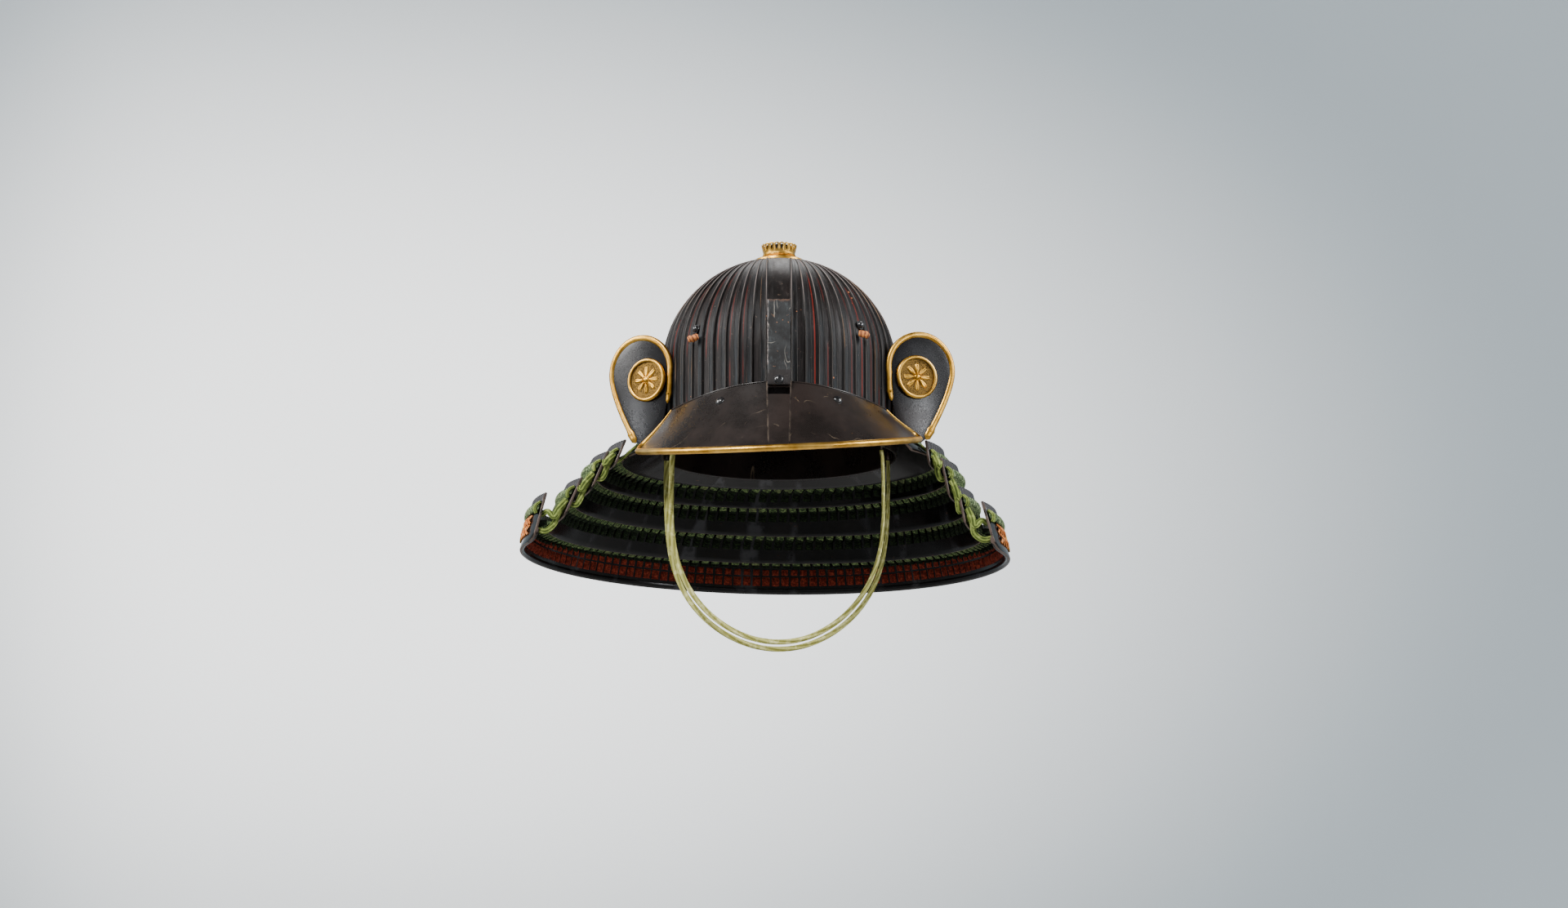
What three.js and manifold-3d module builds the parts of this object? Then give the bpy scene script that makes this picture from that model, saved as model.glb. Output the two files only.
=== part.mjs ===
// A kabuto: a ridged iron helmet bowl with a gilt crown, a riveted peak with a crest post, turned-back
// ears with gilt rims and discs, a neck guard of five laced lames, and two chin cords.
//
// Millimetres. +Z is up, the wearer looks along -Y, and +X is the wearer's left. Names with left and
// right are as seen from the front, so left is at -X. The origin is the centre of the head opening, in the
// plane of the bowl band's lower edge.

import * as THREE from 'three';
import { mergeVertices } from 'three/addons/utils/BufferGeometryUtils.js';
import Module from 'manifold-3d';

const wasm = await Module();
wasm.setup();

// ---------------------------------------------------------------- driving dimensions

const GAP = 0.35;               // between pieces that touch
const SIDES = [['left', -1], ['right', 1]];

const BOWL = {
  halfWidth: 106.3,             // between the ridges
  halfDepth: 121.8,
  height: 184.8,
  springZ: 80,                  // the walls are upright below this, and domed above it
  wall: 2.4,
  ridge: 2.2,                   // height of a plate's raised edge
  frontPlate: 5.9,              // degrees from the middle to the front plate's edge
  platesPerSide: 25,
  ridgeFoot: 1.7,               // degrees from a ridge's crest to its foot
  rimZ: 28,
  holeRadius: 13,
  domeRows: 5,
};

const BAND = { halfWidth: 108.5, halfDepth: 124, wall: 2.2, columns: 36 };

const CROWN = {
  plateZ: 185.6,
  // the saucer plate, from its bore out and back: radius, height above plateZ
  plate: [[9, 1], [16, 0.7], [22, 0], [22, 1.3], [16, 2.5], [9, 2.9], [9, 1]],
  // the flared ring, from its foot up: radius, height above the plate's top
  ring: [[14.2, 0], [13, 2.2], [13.8, 6], [16.5, 11.75]],
  ringWall: 1.6,
  petals: 12,
  petalDip: 2.2,
};

const PEAK = {
  wall: 2.4,
  attachAngle: 60,              // degrees round the bowl, where the peak's upper edge ends
  attachEndZ: 32.9,
  attachRise: 14.7,             // how much higher the upper edge is in the middle
  attachWaves: 1.27,
  rimHalfWidth: 130.5,
  rimFrontY: -168,
  rimFrontZ: -19.8,
  rimCornerAngle: 80,
  rimCornerY: -56,
  rimCornerZ: 2.3,
  rimLean: 0.044,               // the rim hangs a little lower on the wearer's right
  hollow: 3.2,                  // how far the slope dips inwards halfway down
  cornerRadius: 12,
  bandTopHalf: 10.6,            // raised middle band
  bandFootHalf: 8.9,
  bandRaise: 1.8,
  lines: [0.83, 0.7, 0.55, 0.4, 0.25, 0.12, 0.005, -0.08],
  rows: [1, 0.72, 0.45, 0.2, 0],
  span: 178,                    // length of the rim from the middle band to a corner
  rimRadius: 2.7,
  rimSides: [0.12, 0.35, 0.6],  // where the gilt rim's path climbs each end, and follows the lower edge
  rimFront: [0.8, 0.62, 0.45, 0.28, 0.12],
};

const SLOT = { width: 19.6, height: 7, depth: 20, z: 37.2 };

const POST = { width: 20.5, thickness: 2.6, footY: -134, footZ: 42.5, topY: -122.7, topZ: 122.4,
  rivetRadius: 2.9, rivetShare: 0.06 };

const EAR = {
  innerX: 98.4,                 // inner edge, at half height
  innerY: -60,
  thickness: 2.2,
  dish: 2.5,                    // how far its border stands behind its middle
  dishTall: 65,
  rimRadius: 2.9,
  crownU: 33.6,                 // the round upper end: centre and radius
  crownZ: 73.7,
  crownRadius: 34.3,
  tipU: 41,
  tipZ: 8,
  outerPull: [62.5, 45],        // control points of the long curves from the tip to the round end
  innerPull: [-0.5, 53],
  innerEnd: [2.4, 42],          // upper end of the rolled inner edge
  outerTurn: -12,               // degrees where the round end starts and stops
  innerTurn: 190,
  fold: [[8.5, 29], [14, 18.5], [22, 10.5], [33, 5]],
  middleU: 30.6,
  middleZ: 59.7,
  discZ: 65.2,
};
// Degrees that each ear is turned outwards, and how much higher it sits than drawn
const EAR_SIDES = { left: { yaw: 31, lift: -1.4, discU: 25 }, right: { yaw: 22, lift: 0.8, discU: 28.5 } };

const DISC = { radius: 20, ring: 3.2, height: 3, ground: 1.2, petals: 8, petalLength: 11.5,
  petalHalfWidth: 3.4, petalRise: 1.1, hub: 3.6, hubRise: 2.4 };

// One row a lame, from the bowl down. Each lower edge runs round from its widest point to the back, and
// forwards to its front ends. rise, flare and flareBack say how much higher its upper edge is, and how
// much further in at the sides and at the back. shiftTop, shiftFoot and lean say how askew it hangs, and
// lacedTo and edgeLaceAt how far along its half length the lacing below it reaches.
const LAMES = [
  { name: 'neck_lame_1', halfWidth: 146, backY: 152, widestY: 20, endX: 121, endY: -40,
    endZ: 1, backZ: -3, rise: 0, flare: 0, flareBack: 0, shiftTop: 0, shiftFoot: 0,
    lean: 0, corner: 0, lacedTo: 0.9, edgeLaceAt: 0.93 },
  { name: 'neck_lame_2', halfWidth: 163, backY: 168, widestY: 22, endX: 144, endY: -40,
    endZ: -16, backZ: -20, rise: 27, flare: 8, flareBack: 6, shiftTop: -3, shiftFoot: -6.5,
    lean: 0.003, corner: 7, lacedTo: 1, edgeLaceAt: 0.972 },
  { name: 'neck_lame_3', halfWidth: 182.5, backY: 184, widestY: 19, endX: 164, endY: -42,
    endZ: -43, backZ: -45, rise: 40.5, flare: 14, flareBack: 9, shiftTop: -4, shiftFoot: -8.4,
    lean: 0.019, corner: 9, lacedTo: 1, edgeLaceAt: 0.972 },
  { name: 'neck_lame_4', halfWidth: 201, backY: 200, widestY: 16, endX: 183, endY: -45,
    endZ: -68.5, backZ: -69, rise: 40.5, flare: 14, flareBack: 9, shiftTop: -8.6, shiftFoot: -13.3,
    lean: 0.021, corner: 9, lacedTo: 1, edgeLaceAt: 0.972 },
  { name: 'neck_lame_5', halfWidth: 225, backY: 218, widestY: 12, endX: 209, endY: -48,
    endZ: -87, backZ: -97, rise: 44.5, flare: 12.5, flareBack: 9, shiftTop: -13.5, shiftFoot: -13,
    lean: 0.019, corner: 9, lacedTo: 1, edgeLaceAt: 0.972 },
];
const LAME_WALL = 2.4;
const CORNER_FULLNESS = 0.99;   // how much of a quarter circle a lame's rounded corner runs through
const MAIN_COLUMN_END = 0.955;  // share of a lame's half length where its rounded end begins
const FIRST_LAME_TOP = { z: 21, clear: 3.2, endTurn: 114 };

const LACING = { thickness: 1.6, topShare: 0.5, drop: 8 };
const EDGE_LACE = { radius: 2.1, topShare: 0.3, dip: 3.5 };

const CORD = { diameter: 4.8 };
// Each cord hangs from a ring inside the band, straight down past the cheek, round under the chin and up
// to the same ring on the other side. Half of each route, from the ring to the middle.
const CORD_ROUTES = {
  chin_cord_front: [
    [-95.8, -45, -0.2], [-96.5, -44, -8], [-97.2, -42, -22], [-97.4, -40.3, -38], [-97.5, -39.5, -54],
    [-96.6, -39.3, -72], [-93.8, -40.2, -92], [-87.4, -41.4, -113], [-76.5, -42.8, -133],
    [-61, -44.2, -150.5], [-42, -45.2, -164], [-21.5, -45.9, -172.3], [0, -46.2, -175],
  ],
  chin_cord_rear: [
    [-103.6, 12, -0.2], [-103.8, 12, -8], [-103.9, 11.5, -22], [-103.5, 10, -38], [-102.9, 7.2, -54],
    [-101.4, 3, -72], [-98.2, -3, -92.5], [-91.4, -10.4, -114.5], [-79.8, -18.4, -136],
    [-63.4, -25.6, -154.5], [-43.6, -31, -168.6], [-22.2, -34.2, -177.3], [0, -35.2, -180.2],
  ],
};
// The strands on the right hang a little closer in than the routes say.
const CORD_SPREAD = { left: 1, right: 0.968 };
const RING = { radius: 3.3, wire: 0.9, z: 4.4 };

const STUD = { z: 103.2, angle: 45.5, radius: 3.3, height: 3.2, washer: 4.3, washerThickness: 0.8 };
const STUB = { radius: 2.1, length: 6, drop: 7 };
const PEAK_RIVET = { radius: 3.6, height: 2.4, across: 0.37, down: 0.2 };
const TAIL_DISC = { radius: 12, thickness: 1.4, share: 0.82, height: 0.42, clear: 0.7 };

// ---------------------------------------------------------------- finishes

const FINISH = {
  bowl_lacquer: { color: 0x2b2522, roughness: 0.38, metalness: 0.1 },
  ear_lacquer: { color: 0x14161c, roughness: 0.2, metalness: 0 },
  lame_lacquer: { color: 0x15110f, roughness: 0.22, metalness: 0 },
  gilt: { color: 0xc9963c, roughness: 0.35, metalness: 1 },
  iron: { color: 0x2a2e33, roughness: 0.4, metalness: 0.7 },
  lacing: { color: 0x6c8a55, roughness: 0.95, metalness: 0 },
  leather: { color: 0xc8743a, roughness: 0.8, metalness: 0 },
  cord: { color: 0x9ba357, roughness: 0.9, metalness: 0 },
};
const MATERIAL = Object.fromEntries(
  Object.entries(FINISH).map(([name, values]) => [name, new THREE.MeshStandardMaterial(values)]),
);

const helmet = new THREE.Group();

function add(name, geometry, finish) {
  const mesh = new THREE.Mesh(geometry, MATERIAL[finish]);
  mesh.name = name;
  helmet.add(mesh);
  return mesh;
}

// ---------------------------------------------------------------- geometry helpers

const rad = THREE.MathUtils.degToRad;
const lerp = THREE.MathUtils.lerp;
const point = (x, y, z) => new THREE.Vector3(x, y, z);

function steps(from, to, count) {
  return Array.from({ length: count + 1 }, (_, i) => lerp(from, to, i / count));
}

function indexed(vertices, triangles) {
  const geometry = new THREE.BufferGeometry();
  geometry.setAttribute('position', new THREE.Float32BufferAttribute(vertices, 3));
  geometry.setIndex(triangles);
  geometry.computeVertexNormals();
  return geometry;
}

function signedVolume(vertices, triangles) {
  const corner = (k) => new THREE.Vector3().fromArray(vertices, triangles[k] * 3);
  let sum = 0;
  for (let k = 0; k < triangles.length; k += 3) {
    sum += corner(k).dot(corner(k + 1).cross(corner(k + 2)));
  }
  return sum / 6;
}

// A closed wall between two grids of points, rows of columns. closed joins the last column to the first.
function wallBetween(outer, inner, closed = false) {
  const rows = outer.length;
  const columns = outer[0].length;
  const vertices = [...outer.flat(), ...inner.flat()].flatMap((p) => p.toArray());
  const out = (i, j) => i * columns + (j % columns);
  const back = (i, j) => rows * columns + out(i, j);
  const triangles = [];
  const quad = (a, b, c, d) => triangles.push(a, b, c, a, c, d);
  const spans = closed ? columns : columns - 1;
  for (let j = 0; j < spans; j += 1) {
    for (let i = 0; i < rows - 1; i += 1) {
      quad(out(i, j), out(i, j + 1), out(i + 1, j + 1), out(i + 1, j));
      quad(back(i, j), back(i + 1, j), back(i + 1, j + 1), back(i, j + 1));
    }
    quad(out(0, j), back(0, j), back(0, j + 1), out(0, j + 1));
    quad(out(rows - 1, j), out(rows - 1, j + 1), back(rows - 1, j + 1), back(rows - 1, j));
  }
  for (let i = 0; i < rows - 1 && !closed; i += 1) {
    const last = columns - 1;
    quad(out(i, 0), out(i + 1, 0), back(i + 1, 0), back(i, 0));
    quad(out(i, last), back(i, last), back(i + 1, last), out(i + 1, last));
  }
  if (signedVolume(vertices, triangles) < 0) {
    triangles.reverse();
  }
  return indexed(vertices, triangles);
}

// The grid moved along its own normals, which point along column direction x row direction.
function offsetGrid(grid, distance) {
  const rows = grid.length;
  const columns = grid[0].length;
  return grid.map((row, i) => row.map((p, j) => {
    const along = grid[i][Math.min(j + 1, columns - 1)].clone().sub(grid[i][Math.max(j - 1, 0)]);
    const up = grid[Math.min(i + 1, rows - 1)][j].clone().sub(grid[Math.max(i - 1, 0)][j]);
    return p.clone().addScaledVector(along.cross(up).normalize(), distance);
  }));
}

function thickSheet(grid, wall) {
  return wallBetween(grid, offsetGrid(grid, -wall));
}

function roundSection(radius, sides) {
  const section = new THREE.Shape();
  for (let k = 0; k < sides; k += 1) {
    const angle = (k / sides) * Math.PI * 2;
    const place = [radius * Math.cos(angle), radius * Math.sin(angle)];
    if (k === 0) {
      section.moveTo(...place);
    } else {
      section.lineTo(...place);
    }
  }
  section.closePath();
  return section;
}

function tube(points, radius, sides, count) {
  const extrudePath = new THREE.CatmullRomCurve3(points, false, 'centripetal');
  return new THREE.ExtrudeGeometry(roundSection(radius, sides), { steps: count, extrudePath });
}

function lathe(profile, segments) {
  const points = profile.map(([r, z]) => new THREE.Vector2(r, z));
  const turned = new THREE.LatheGeometry(points, segments);
  turned.rotateX(Math.PI / 2);
  return turned;
}

// A low dome on a flat base, its base at z 0: a rivet's or stud's head.
function domeProfile(radius, height) {
  return [[0, 0], [radius, 0], [radius * 0.92, height * 0.45], [radius * 0.6, height * 0.85], [0, height]];
}

function stand(mesh, place, normal) {
  mesh.position.copy(place);
  mesh.quaternion.setFromUnitVectors(new THREE.Vector3(0, 0, 1), normal.clone().normalize());
}

function solidOf(geometry) {
  const bare = geometry.clone();
  bare.deleteAttribute('normal');
  bare.deleteAttribute('uv');
  const merged = mergeVertices(bare, 1e-4);
  return new wasm.Manifold(new wasm.Mesh({
    numProp: 3,
    vertProperties: merged.attributes.position.array,
    triVerts: Uint32Array.from(merged.index.array),
  }));
}

function geometryOf(solid) {
  const mesh = solid.getMesh();
  return indexed(Array.from(mesh.vertProperties), Array.from(mesh.triVerts));
}

// ---------------------------------------------------------------- bowl

function bowlShare(z, height) {
  const up = Math.max(z - BOWL.springZ, 0) / (height - BOWL.springZ);
  return Math.sqrt(1 - up * up);
}

// A point on the bowl, lift outside the plates: angle in degrees from the front towards +X.
function onBowl(angle, z, lift) {
  const share = bowlShare(z, BOWL.height + lift);
  return point(
    (BOWL.halfWidth + lift) * share * Math.sin(rad(angle)),
    -(BOWL.halfDepth + lift) * share * Math.cos(rad(angle)),
    z,
  );
}

function bowlNormal(angle, z) {
  const along = onBowl(angle + 0.5, z, 0).sub(onBowl(angle - 0.5, z, 0));
  const up = onBowl(angle, z + 0.5, 0).sub(onBowl(angle, z - 0.5, 0));
  return along.cross(up).normalize();
}

// Every plate ends in a ridge: its crest, then its foot just behind it.
function bowlColumns() {
  const columns = [];
  const pitch = (180 - 2 * BOWL.frontPlate) / BOWL.platesPerSide;
  for (let k = 0; k <= BOWL.platesPerSide; k += 1) {
    const crest = BOWL.frontPlate + k * pitch;
    columns.push({ angle: crest, lift: BOWL.ridge }, { angle: crest + BOWL.ridgeFoot, lift: 0 });
  }
  const mirrored = columns.map(({ angle, lift }) => ({ angle: 360 - angle, lift })).reverse();
  return [...columns, ...mirrored];
}

// The bowl's surface in rows from the rim to the hole at the top, extra outside the plates.
function bowlGrid(extra, ridged) {
  const last = Math.acos(BOWL.holeRadius / BOWL.halfWidth);
  const dome = steps(0, last, BOWL.domeRows).map((turn) => ({ up: Math.sin(turn), out: Math.cos(turn) }));
  const rows = [{ up: 0, out: 1, z: BOWL.rimZ }, ...dome];
  return rows.map((row, i) => bowlColumns().map(({ angle, lift }) => {
    const raised = ridged && i < rows.length - 1 ? extra + lift : extra;
    return point(
      (BOWL.halfWidth + raised) * row.out * Math.sin(rad(angle)),
      -(BOWL.halfDepth + raised) * row.out * Math.cos(rad(angle)),
      row.z ?? BOWL.springZ + (BOWL.height + raised - BOWL.springZ) * row.up,
    );
  }));
}

function makeBowl() {
  add('bowl', wallBetween(bowlGrid(0, true), bowlGrid(-BOWL.wall, false), true), 'bowl_lacquer');
}

function makeBand() {
  const ring = (inset, z) => steps(0, 360, BAND.columns).slice(0, -1).map((angle) => point(
    (BAND.halfWidth - inset) * Math.sin(rad(angle)),
    -(BAND.halfDepth - inset) * Math.cos(rad(angle)),
    z,
  ));
  const top = BOWL.rimZ - BOWL.ridge;
  const outer = [ring(0, 0), ring(0, top)];
  const inner = [ring(BAND.wall, 0), ring(BAND.wall, top)];
  add('bowl_band', wallBetween(outer, inner, true), 'bowl_lacquer');
}

// ---------------------------------------------------------------- crown

function makeCrown() {
  const plate = lathe(CROWN.plate.map(([radius, up]) => [radius, CROWN.plateZ + up]), 20);
  add('crown_plate', plate, 'gilt');

  const baseZ = CROWN.plateZ + Math.max(...CROWN.plate.map(([, up]) => up)) + GAP;
  const turns = steps(0, 360, CROWN.petals * 2).slice(0, -1);
  const topRow = CROWN.ring.length - 1;
  const rows = (inset) => CROWN.ring.map(([radius, up], row) => turns.map((angle, k) => {
    const dip = row === topRow && k % 2 === 1 ? CROWN.petalDip : 0;
    const r = radius - inset;
    return point(r * Math.sin(rad(angle)), -r * Math.cos(rad(angle)), baseZ + up - dip);
  }));
  add('crown_ring', wallBetween(rows(0), rows(CROWN.ringWall), true), 'gilt');
}

// ---------------------------------------------------------------- peak

function peakUpperEdge(angle) {
  const z = PEAK.attachEndZ + PEAK.attachRise * Math.cos(rad(angle * PEAK.attachWaves)) ** 2;
  return onBowl(angle, z, BOWL.ridge + PEAK.wall + GAP);
}

function peakLowerEdge(angle) {
  const cornerCos = Math.cos(rad(PEAK.rimCornerAngle));
  const depth = (PEAK.rimCornerY - PEAK.rimFrontY) / (1 - cornerCos);
  const x = PEAK.rimHalfWidth * Math.sin(rad(angle));
  const y = PEAK.rimFrontY + depth * (1 - Math.cos(rad(angle)));
  const share = (y - PEAK.rimFrontY) / (PEAK.rimCornerY - PEAK.rimFrontY);
  return point(x, y, lerp(PEAK.rimFrontZ, PEAK.rimCornerZ, share) + PEAK.rimLean * x);
}

// A line down the peak, from its upper edge to its rim. across is 0 at the edge of the raised middle
// band and 1 at the peak's end; inside the band, across is negative, down to -1 in the middle.
function peakLine(across, side) {
  const bandTop = THREE.MathUtils.radToDeg(Math.asin(PEAK.bandTopHalf / (BOWL.halfWidth + BOWL.ridge)));
  const bandFoot = THREE.MathUtils.radToDeg(Math.asin(PEAK.bandFootHalf / PEAK.rimHalfWidth));
  const top = across < 0 ? bandTop * (1 + across) : lerp(bandTop, PEAK.attachAngle, across);
  const foot = across < 0 ? bandFoot * (1 + across) : lerp(bandFoot, PEAK.rimCornerAngle, across);
  const upper = peakUpperEdge(side * top);
  const lower = peakLowerEdge(side * foot);
  const inwards = point(-upper.x, -upper.y, 0).normalize();
  const middle = upper.clone().lerp(lower, 0.5).addScaledVector(inwards, PEAK.hollow);
  return new THREE.QuadraticBezierCurve3(upper, middle, lower);
}


// The peak's lines, from one end to the other: where each is, and how far above the rim it stops. The
// rim's corner is round, so the outermost lines stop higher.
function peakColumns() {
  const inset = PEAK.rimRadius + 4 * GAP;
  const r = PEAK.cornerRadius;
  const halves = [];
  for (const share of [0, 0.3, 1]) {
    const fromEnd = lerp(inset, r, share);
    const stop = r - Math.sqrt(Math.max((r - inset) ** 2 - (r - fromEnd) ** 2, 0));
    halves.push({ across: 1 - fromEnd / PEAK.span, stop, raise: 0 });
  }
  for (const across of PEAK.lines) {
    halves.push({ across, stop: inset, raise: across < 0 ? PEAK.bandRaise : 0 });
  }
  const middle = { across: -1, stop: inset, raise: PEAK.bandRaise, side: 1 };
  return [
    ...halves.map((column) => ({ ...column, side: -1 })),
    middle,
    ...halves.map((column) => ({ ...column, side: 1 })).reverse(),
  ];
}

function makePeak() {
  const lines = peakColumns().map((column) => {
    const line = peakLine(column.across, column.side);
    const length = line.getLength();
    return PEAK.rows.map((share) => {
      const place = line.getPointAt(share * (1 - column.stop / length));
      const outwards = point(place.x, place.y, Math.abs(place.y) * 0.4).normalize();
      return place.addScaledVector(outwards, share > 0 ? column.raise : 0);
    });
  });
  const grid = PEAK.rows.map((_, i) => lines.map((line) => line[i]));
  const slot = new THREE.BoxGeometry(SLOT.width, SLOT.depth, SLOT.height);
  slot.translate(0, -BOWL.halfDepth - SLOT.depth / 2, SLOT.z);
  const sheet = solidOf(thickSheet(grid, PEAK.wall)).subtract(solidOf(slot));
  add('peak', geometryOf(sheet), 'bowl_lacquer');
}

// The gilt rim follows the peak's lower edge, turns both corners and climbs both ends.
function makePeakRim() {
  const r = PEAK.cornerRadius;
  const half = [];
  const endLine = (side) => peakLine(1, side);
  for (const share of PEAK.rimSides) {
    half.push((side) => endLine(side).getPointAt(share));
  }
  for (const turn of [0, 30, 60, 90]) {
    const fromEnd = r * (1 - Math.cos(rad(turn)));
    const stop = r * (1 - Math.sin(rad(turn)));
    half.push((side) => {
      const line = peakLine(1 - fromEnd / PEAK.span, side);
      return line.getPointAt(1 - stop / line.getLength());
    });
  }
  for (const across of PEAK.rimFront) {
    half.push((side) => peakLine(across, side).getPoint(1));
  }
  const route = [
    ...half.map((place) => place(-1)),
    peakLine(-1, 1).getPoint(1),
    ...half.map((place) => place(1)).reverse(),
  ];
  add('peak_rim', tube(route, PEAK.rimRadius, 8, 30), 'gilt');
}

function makePost() {
  const along = new THREE.Vector2(POST.topY - POST.footY, POST.topZ - POST.footZ);
  const length = along.length();
  const strip = new THREE.BoxGeometry(POST.width, POST.thickness, length);
  const mesh = add('crest_post', strip, 'iron');
  const lean = Math.atan2(along.x, along.y);
  mesh.rotation.x = -lean;
  const middle = new THREE.Vector2(POST.footY, POST.footZ).addScaledVector(along, 0.5);
  mesh.position.set(0, middle.x + POST.thickness / 2, middle.y);

  const rivet = add('post_rivet', lathe(domeProfile(POST.rivetRadius, 2), 12), 'iron');
  const outwards = point(0, -Math.cos(lean), Math.sin(lean));
  const foot = new THREE.Vector2(POST.footY, POST.footZ).addScaledVector(along, POST.rivetShare);
  stand(rivet, point(0, foot.x, foot.y).addScaledVector(outwards, GAP), outwards);
}

function makePeakRivets() {
  for (const [name, side] of SIDES) {
    const { across, down: share } = PEAK_RIVET;
    const line = peakLine(across, side);
    const place = line.getPointAt(share);
    const down = line.getTangentAt(share);
    const before = peakLine(across - 0.05, side).getPointAt(share);
    const along = peakLine(across + 0.05, side).getPointAt(share).sub(before);
    const normal = side > 0 ? down.cross(along) : along.cross(down);
    const head = lathe(domeProfile(PEAK_RIVET.radius, PEAK_RIVET.height), 12);
    const rivet = add(`peak_rivet_${name}`, head, 'iron');
    stand(rivet, place.addScaledVector(normal.normalize(), GAP + 0.2), normal);
  }
}

// ---------------------------------------------------------------- studs on the bowl

function makeStuds() {
  const quarters = [
    ['front_left', -STUD.angle], ['front_right', STUD.angle],
    ['rear_left', STUD.angle - 180], ['rear_right', 180 - STUD.angle],
  ];
  const { radius, height, washer, washerThickness } = STUD;
  const profile = [
    [0, 0], [washer, 0], [washer, washerThickness], [radius, washerThickness],
    [radius * 0.75, washerThickness + height * 0.75], [0, washerThickness + height],
  ];
  for (const [name, angle] of quarters) {
    const normal = bowlNormal(angle, STUD.z);
    const stud = add(`stud_${name}`, lathe(profile, 12), 'iron');
    stand(stud, onBowl(angle, STUD.z, BOWL.ridge + GAP), normal);

    const stubZ = STUD.z - STUB.drop;
    const start = onBowl(angle, stubZ, BOWL.ridge + GAP + 0.6);
    const droop = bowlNormal(angle, stubZ).add(point(0, 0, -0.35)).normalize();
    const end = start.clone().addScaledVector(droop, STUB.length);
    add(`cord_stub_${name}`, tube([start, end], STUB.radius, 8, 1), 'leather');
  }
}

// ---------------------------------------------------------------- ears

// The ear's border, in its own plane: u runs outwards from its inner edge and z is up.
function earBorder() {
  const { crownU, crownZ, crownRadius } = EAR;
  const from = rad(EAR.outerTurn);
  const start = [crownU + crownRadius * Math.cos(from), crownZ + crownRadius * Math.sin(from)];
  const border = new THREE.Path();
  border.moveTo(EAR.tipU, EAR.tipZ);
  border.quadraticCurveTo(...EAR.outerPull, ...start);
  border.absarc(crownU, crownZ, crownRadius, from, rad(EAR.innerTurn), false);
  border.quadraticCurveTo(...EAR.innerPull, ...EAR.innerEnd);
  return border;
}

function earFrame(name, side) {
  const { yaw, lift } = EAR_SIDES[name];
  const outwards = point(side * Math.cos(rad(yaw)), Math.sin(rad(yaw)), 0);
  const facing = point(side * Math.sin(rad(yaw)), -Math.cos(rad(yaw)), 0);
  const place = (u, z, forward) => point(side * EAR.innerX, EAR.innerY, lift)
    .addScaledVector(outwards, u)
    .addScaledVector(facing, forward)
    .add(point(0, 0, z));
  return { place, facing };
}

function insetPath(points, distance) {
  return points.map((p, k) => {
    const before = points[Math.max(k - 1, 0)];
    const after = points[Math.min(k + 1, points.length - 1)];
    const along = after.clone().sub(before).normalize();
    return new THREE.Vector2(p.x - along.y * distance, p.y + along.x * distance);
  });
}

// How far the dished face stands forward of the ear's plane.
function earDish(u, z) {
  const across = (u - EAR.crownU) / EAR.crownRadius;
  const up = (z - EAR.crownZ) / EAR.dishTall;
  return -EAR.dish * Math.min(across * across + up * up, 1);
}

function makeEars() {
  const border = earBorder().getSpacedPoints(26);
  const rimLine = insetPath(border, EAR.rimRadius);
  const plateLine = insetPath(border, EAR.rimRadius * 2 + GAP);
  const outline = [...plateLine, ...EAR.fold.map(([u, z]) => new THREE.Vector2(u, z))];
  const centre = new THREE.Vector2(EAR.middleU, EAR.middleZ);
  for (const [name, side] of SIDES) {
    const { place, facing } = earFrame(name, side);
    const face = (p) => place(p.x, p.y, earDish(p.x, p.y));
    const rings = [1, 0.5].map((share) => outline.map((p) => face(centre.clone().lerp(p, share))));
    const plate = earPlate(rings, facing, face(centre));
    add(`ear_${name}`, plate, 'ear_lacquer');

    const route = rimLine.map((p) => place(p.x, p.y, earDish(p.x, p.y) - EAR.thickness / 2));
    add(`ear_rim_${name}`, tube(route, EAR.rimRadius, 8, 24), 'gilt');
    makeEarDisc(name, side, place, facing);
  }
}

// A dished plate: rings of points round a middle point, and the same behind it.
function earPlate(rings, facing, middle) {
  const behind = (p) => p.clone().addScaledVector(facing, -EAR.thickness);
  const count = rings[0].length;
  const layers = rings.flat();
  const vertices = [...layers, middle, ...layers.map(behind), behind(middle)].flatMap((p) => p.toArray());
  const backStart = layers.length + 1;
  const triangles = [];
  for (let k = 0; k < count; k += 1) {
    const next = (k + 1) % count;
    for (let ring = 0; ring < rings.length - 1; ring += 1) {
      const [a, b] = [ring * count + k, ring * count + next];
      const [c, d] = [b + count, a + count];
      triangles.push(a, b, c, a, c, d);
      triangles.push(backStart + a, backStart + c, backStart + b);
      triangles.push(backStart + a, backStart + d, backStart + c);
    }
    const last = (rings.length - 1) * count;
    triangles.push(last + k, last + next, layers.length);
    triangles.push(backStart + last + k, backStart + layers.length, backStart + last + next);
    triangles.push(k, backStart + k, backStart + next, k, backStart + next, next);
  }
  if (signedVolume(vertices, triangles) < 0) {
    triangles.reverse();
  }
  return indexed(vertices, triangles);
}

// A cast disc: a raised ring round a sunk ground, with an eight-petalled flower on it.
function makeEarDisc(name, side, place, facing) {
  const { radius, ring, height, ground, petals, petalLength, hub } = DISC;
  let cast = solidOf(lathe([
    [0, 0], [radius, 0], [radius - ring * 0.3, height], [radius - ring, height * 0.7],
    [radius - ring, ground], [0, ground],
  ], 24));
  for (let k = 0; k < petals; k += 1) {
    const petal = new THREE.OctahedronGeometry(1);
    petal.scale(petalLength / 2, DISC.petalHalfWidth, DISC.petalRise);
    petal.translate(hub * 0.6 + petalLength / 2, 0, ground);
    petal.rotateZ((k / petals) * Math.PI * 2);
    cast = cast.add(solidOf(petal));
  }
  const boss = lathe(domeProfile(hub, DISC.hubRise), 8);
  boss.translate(0, 0, ground / 2);
  const mesh = add(`ear_disc_${name}`, geometryOf(cast.add(solidOf(boss))), 'gilt');
  stand(mesh, place(EAR_SIDES[name].discU, EAR.discZ, GAP + 0.2), facing);
}

// ---------------------------------------------------------------- neck guard

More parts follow.
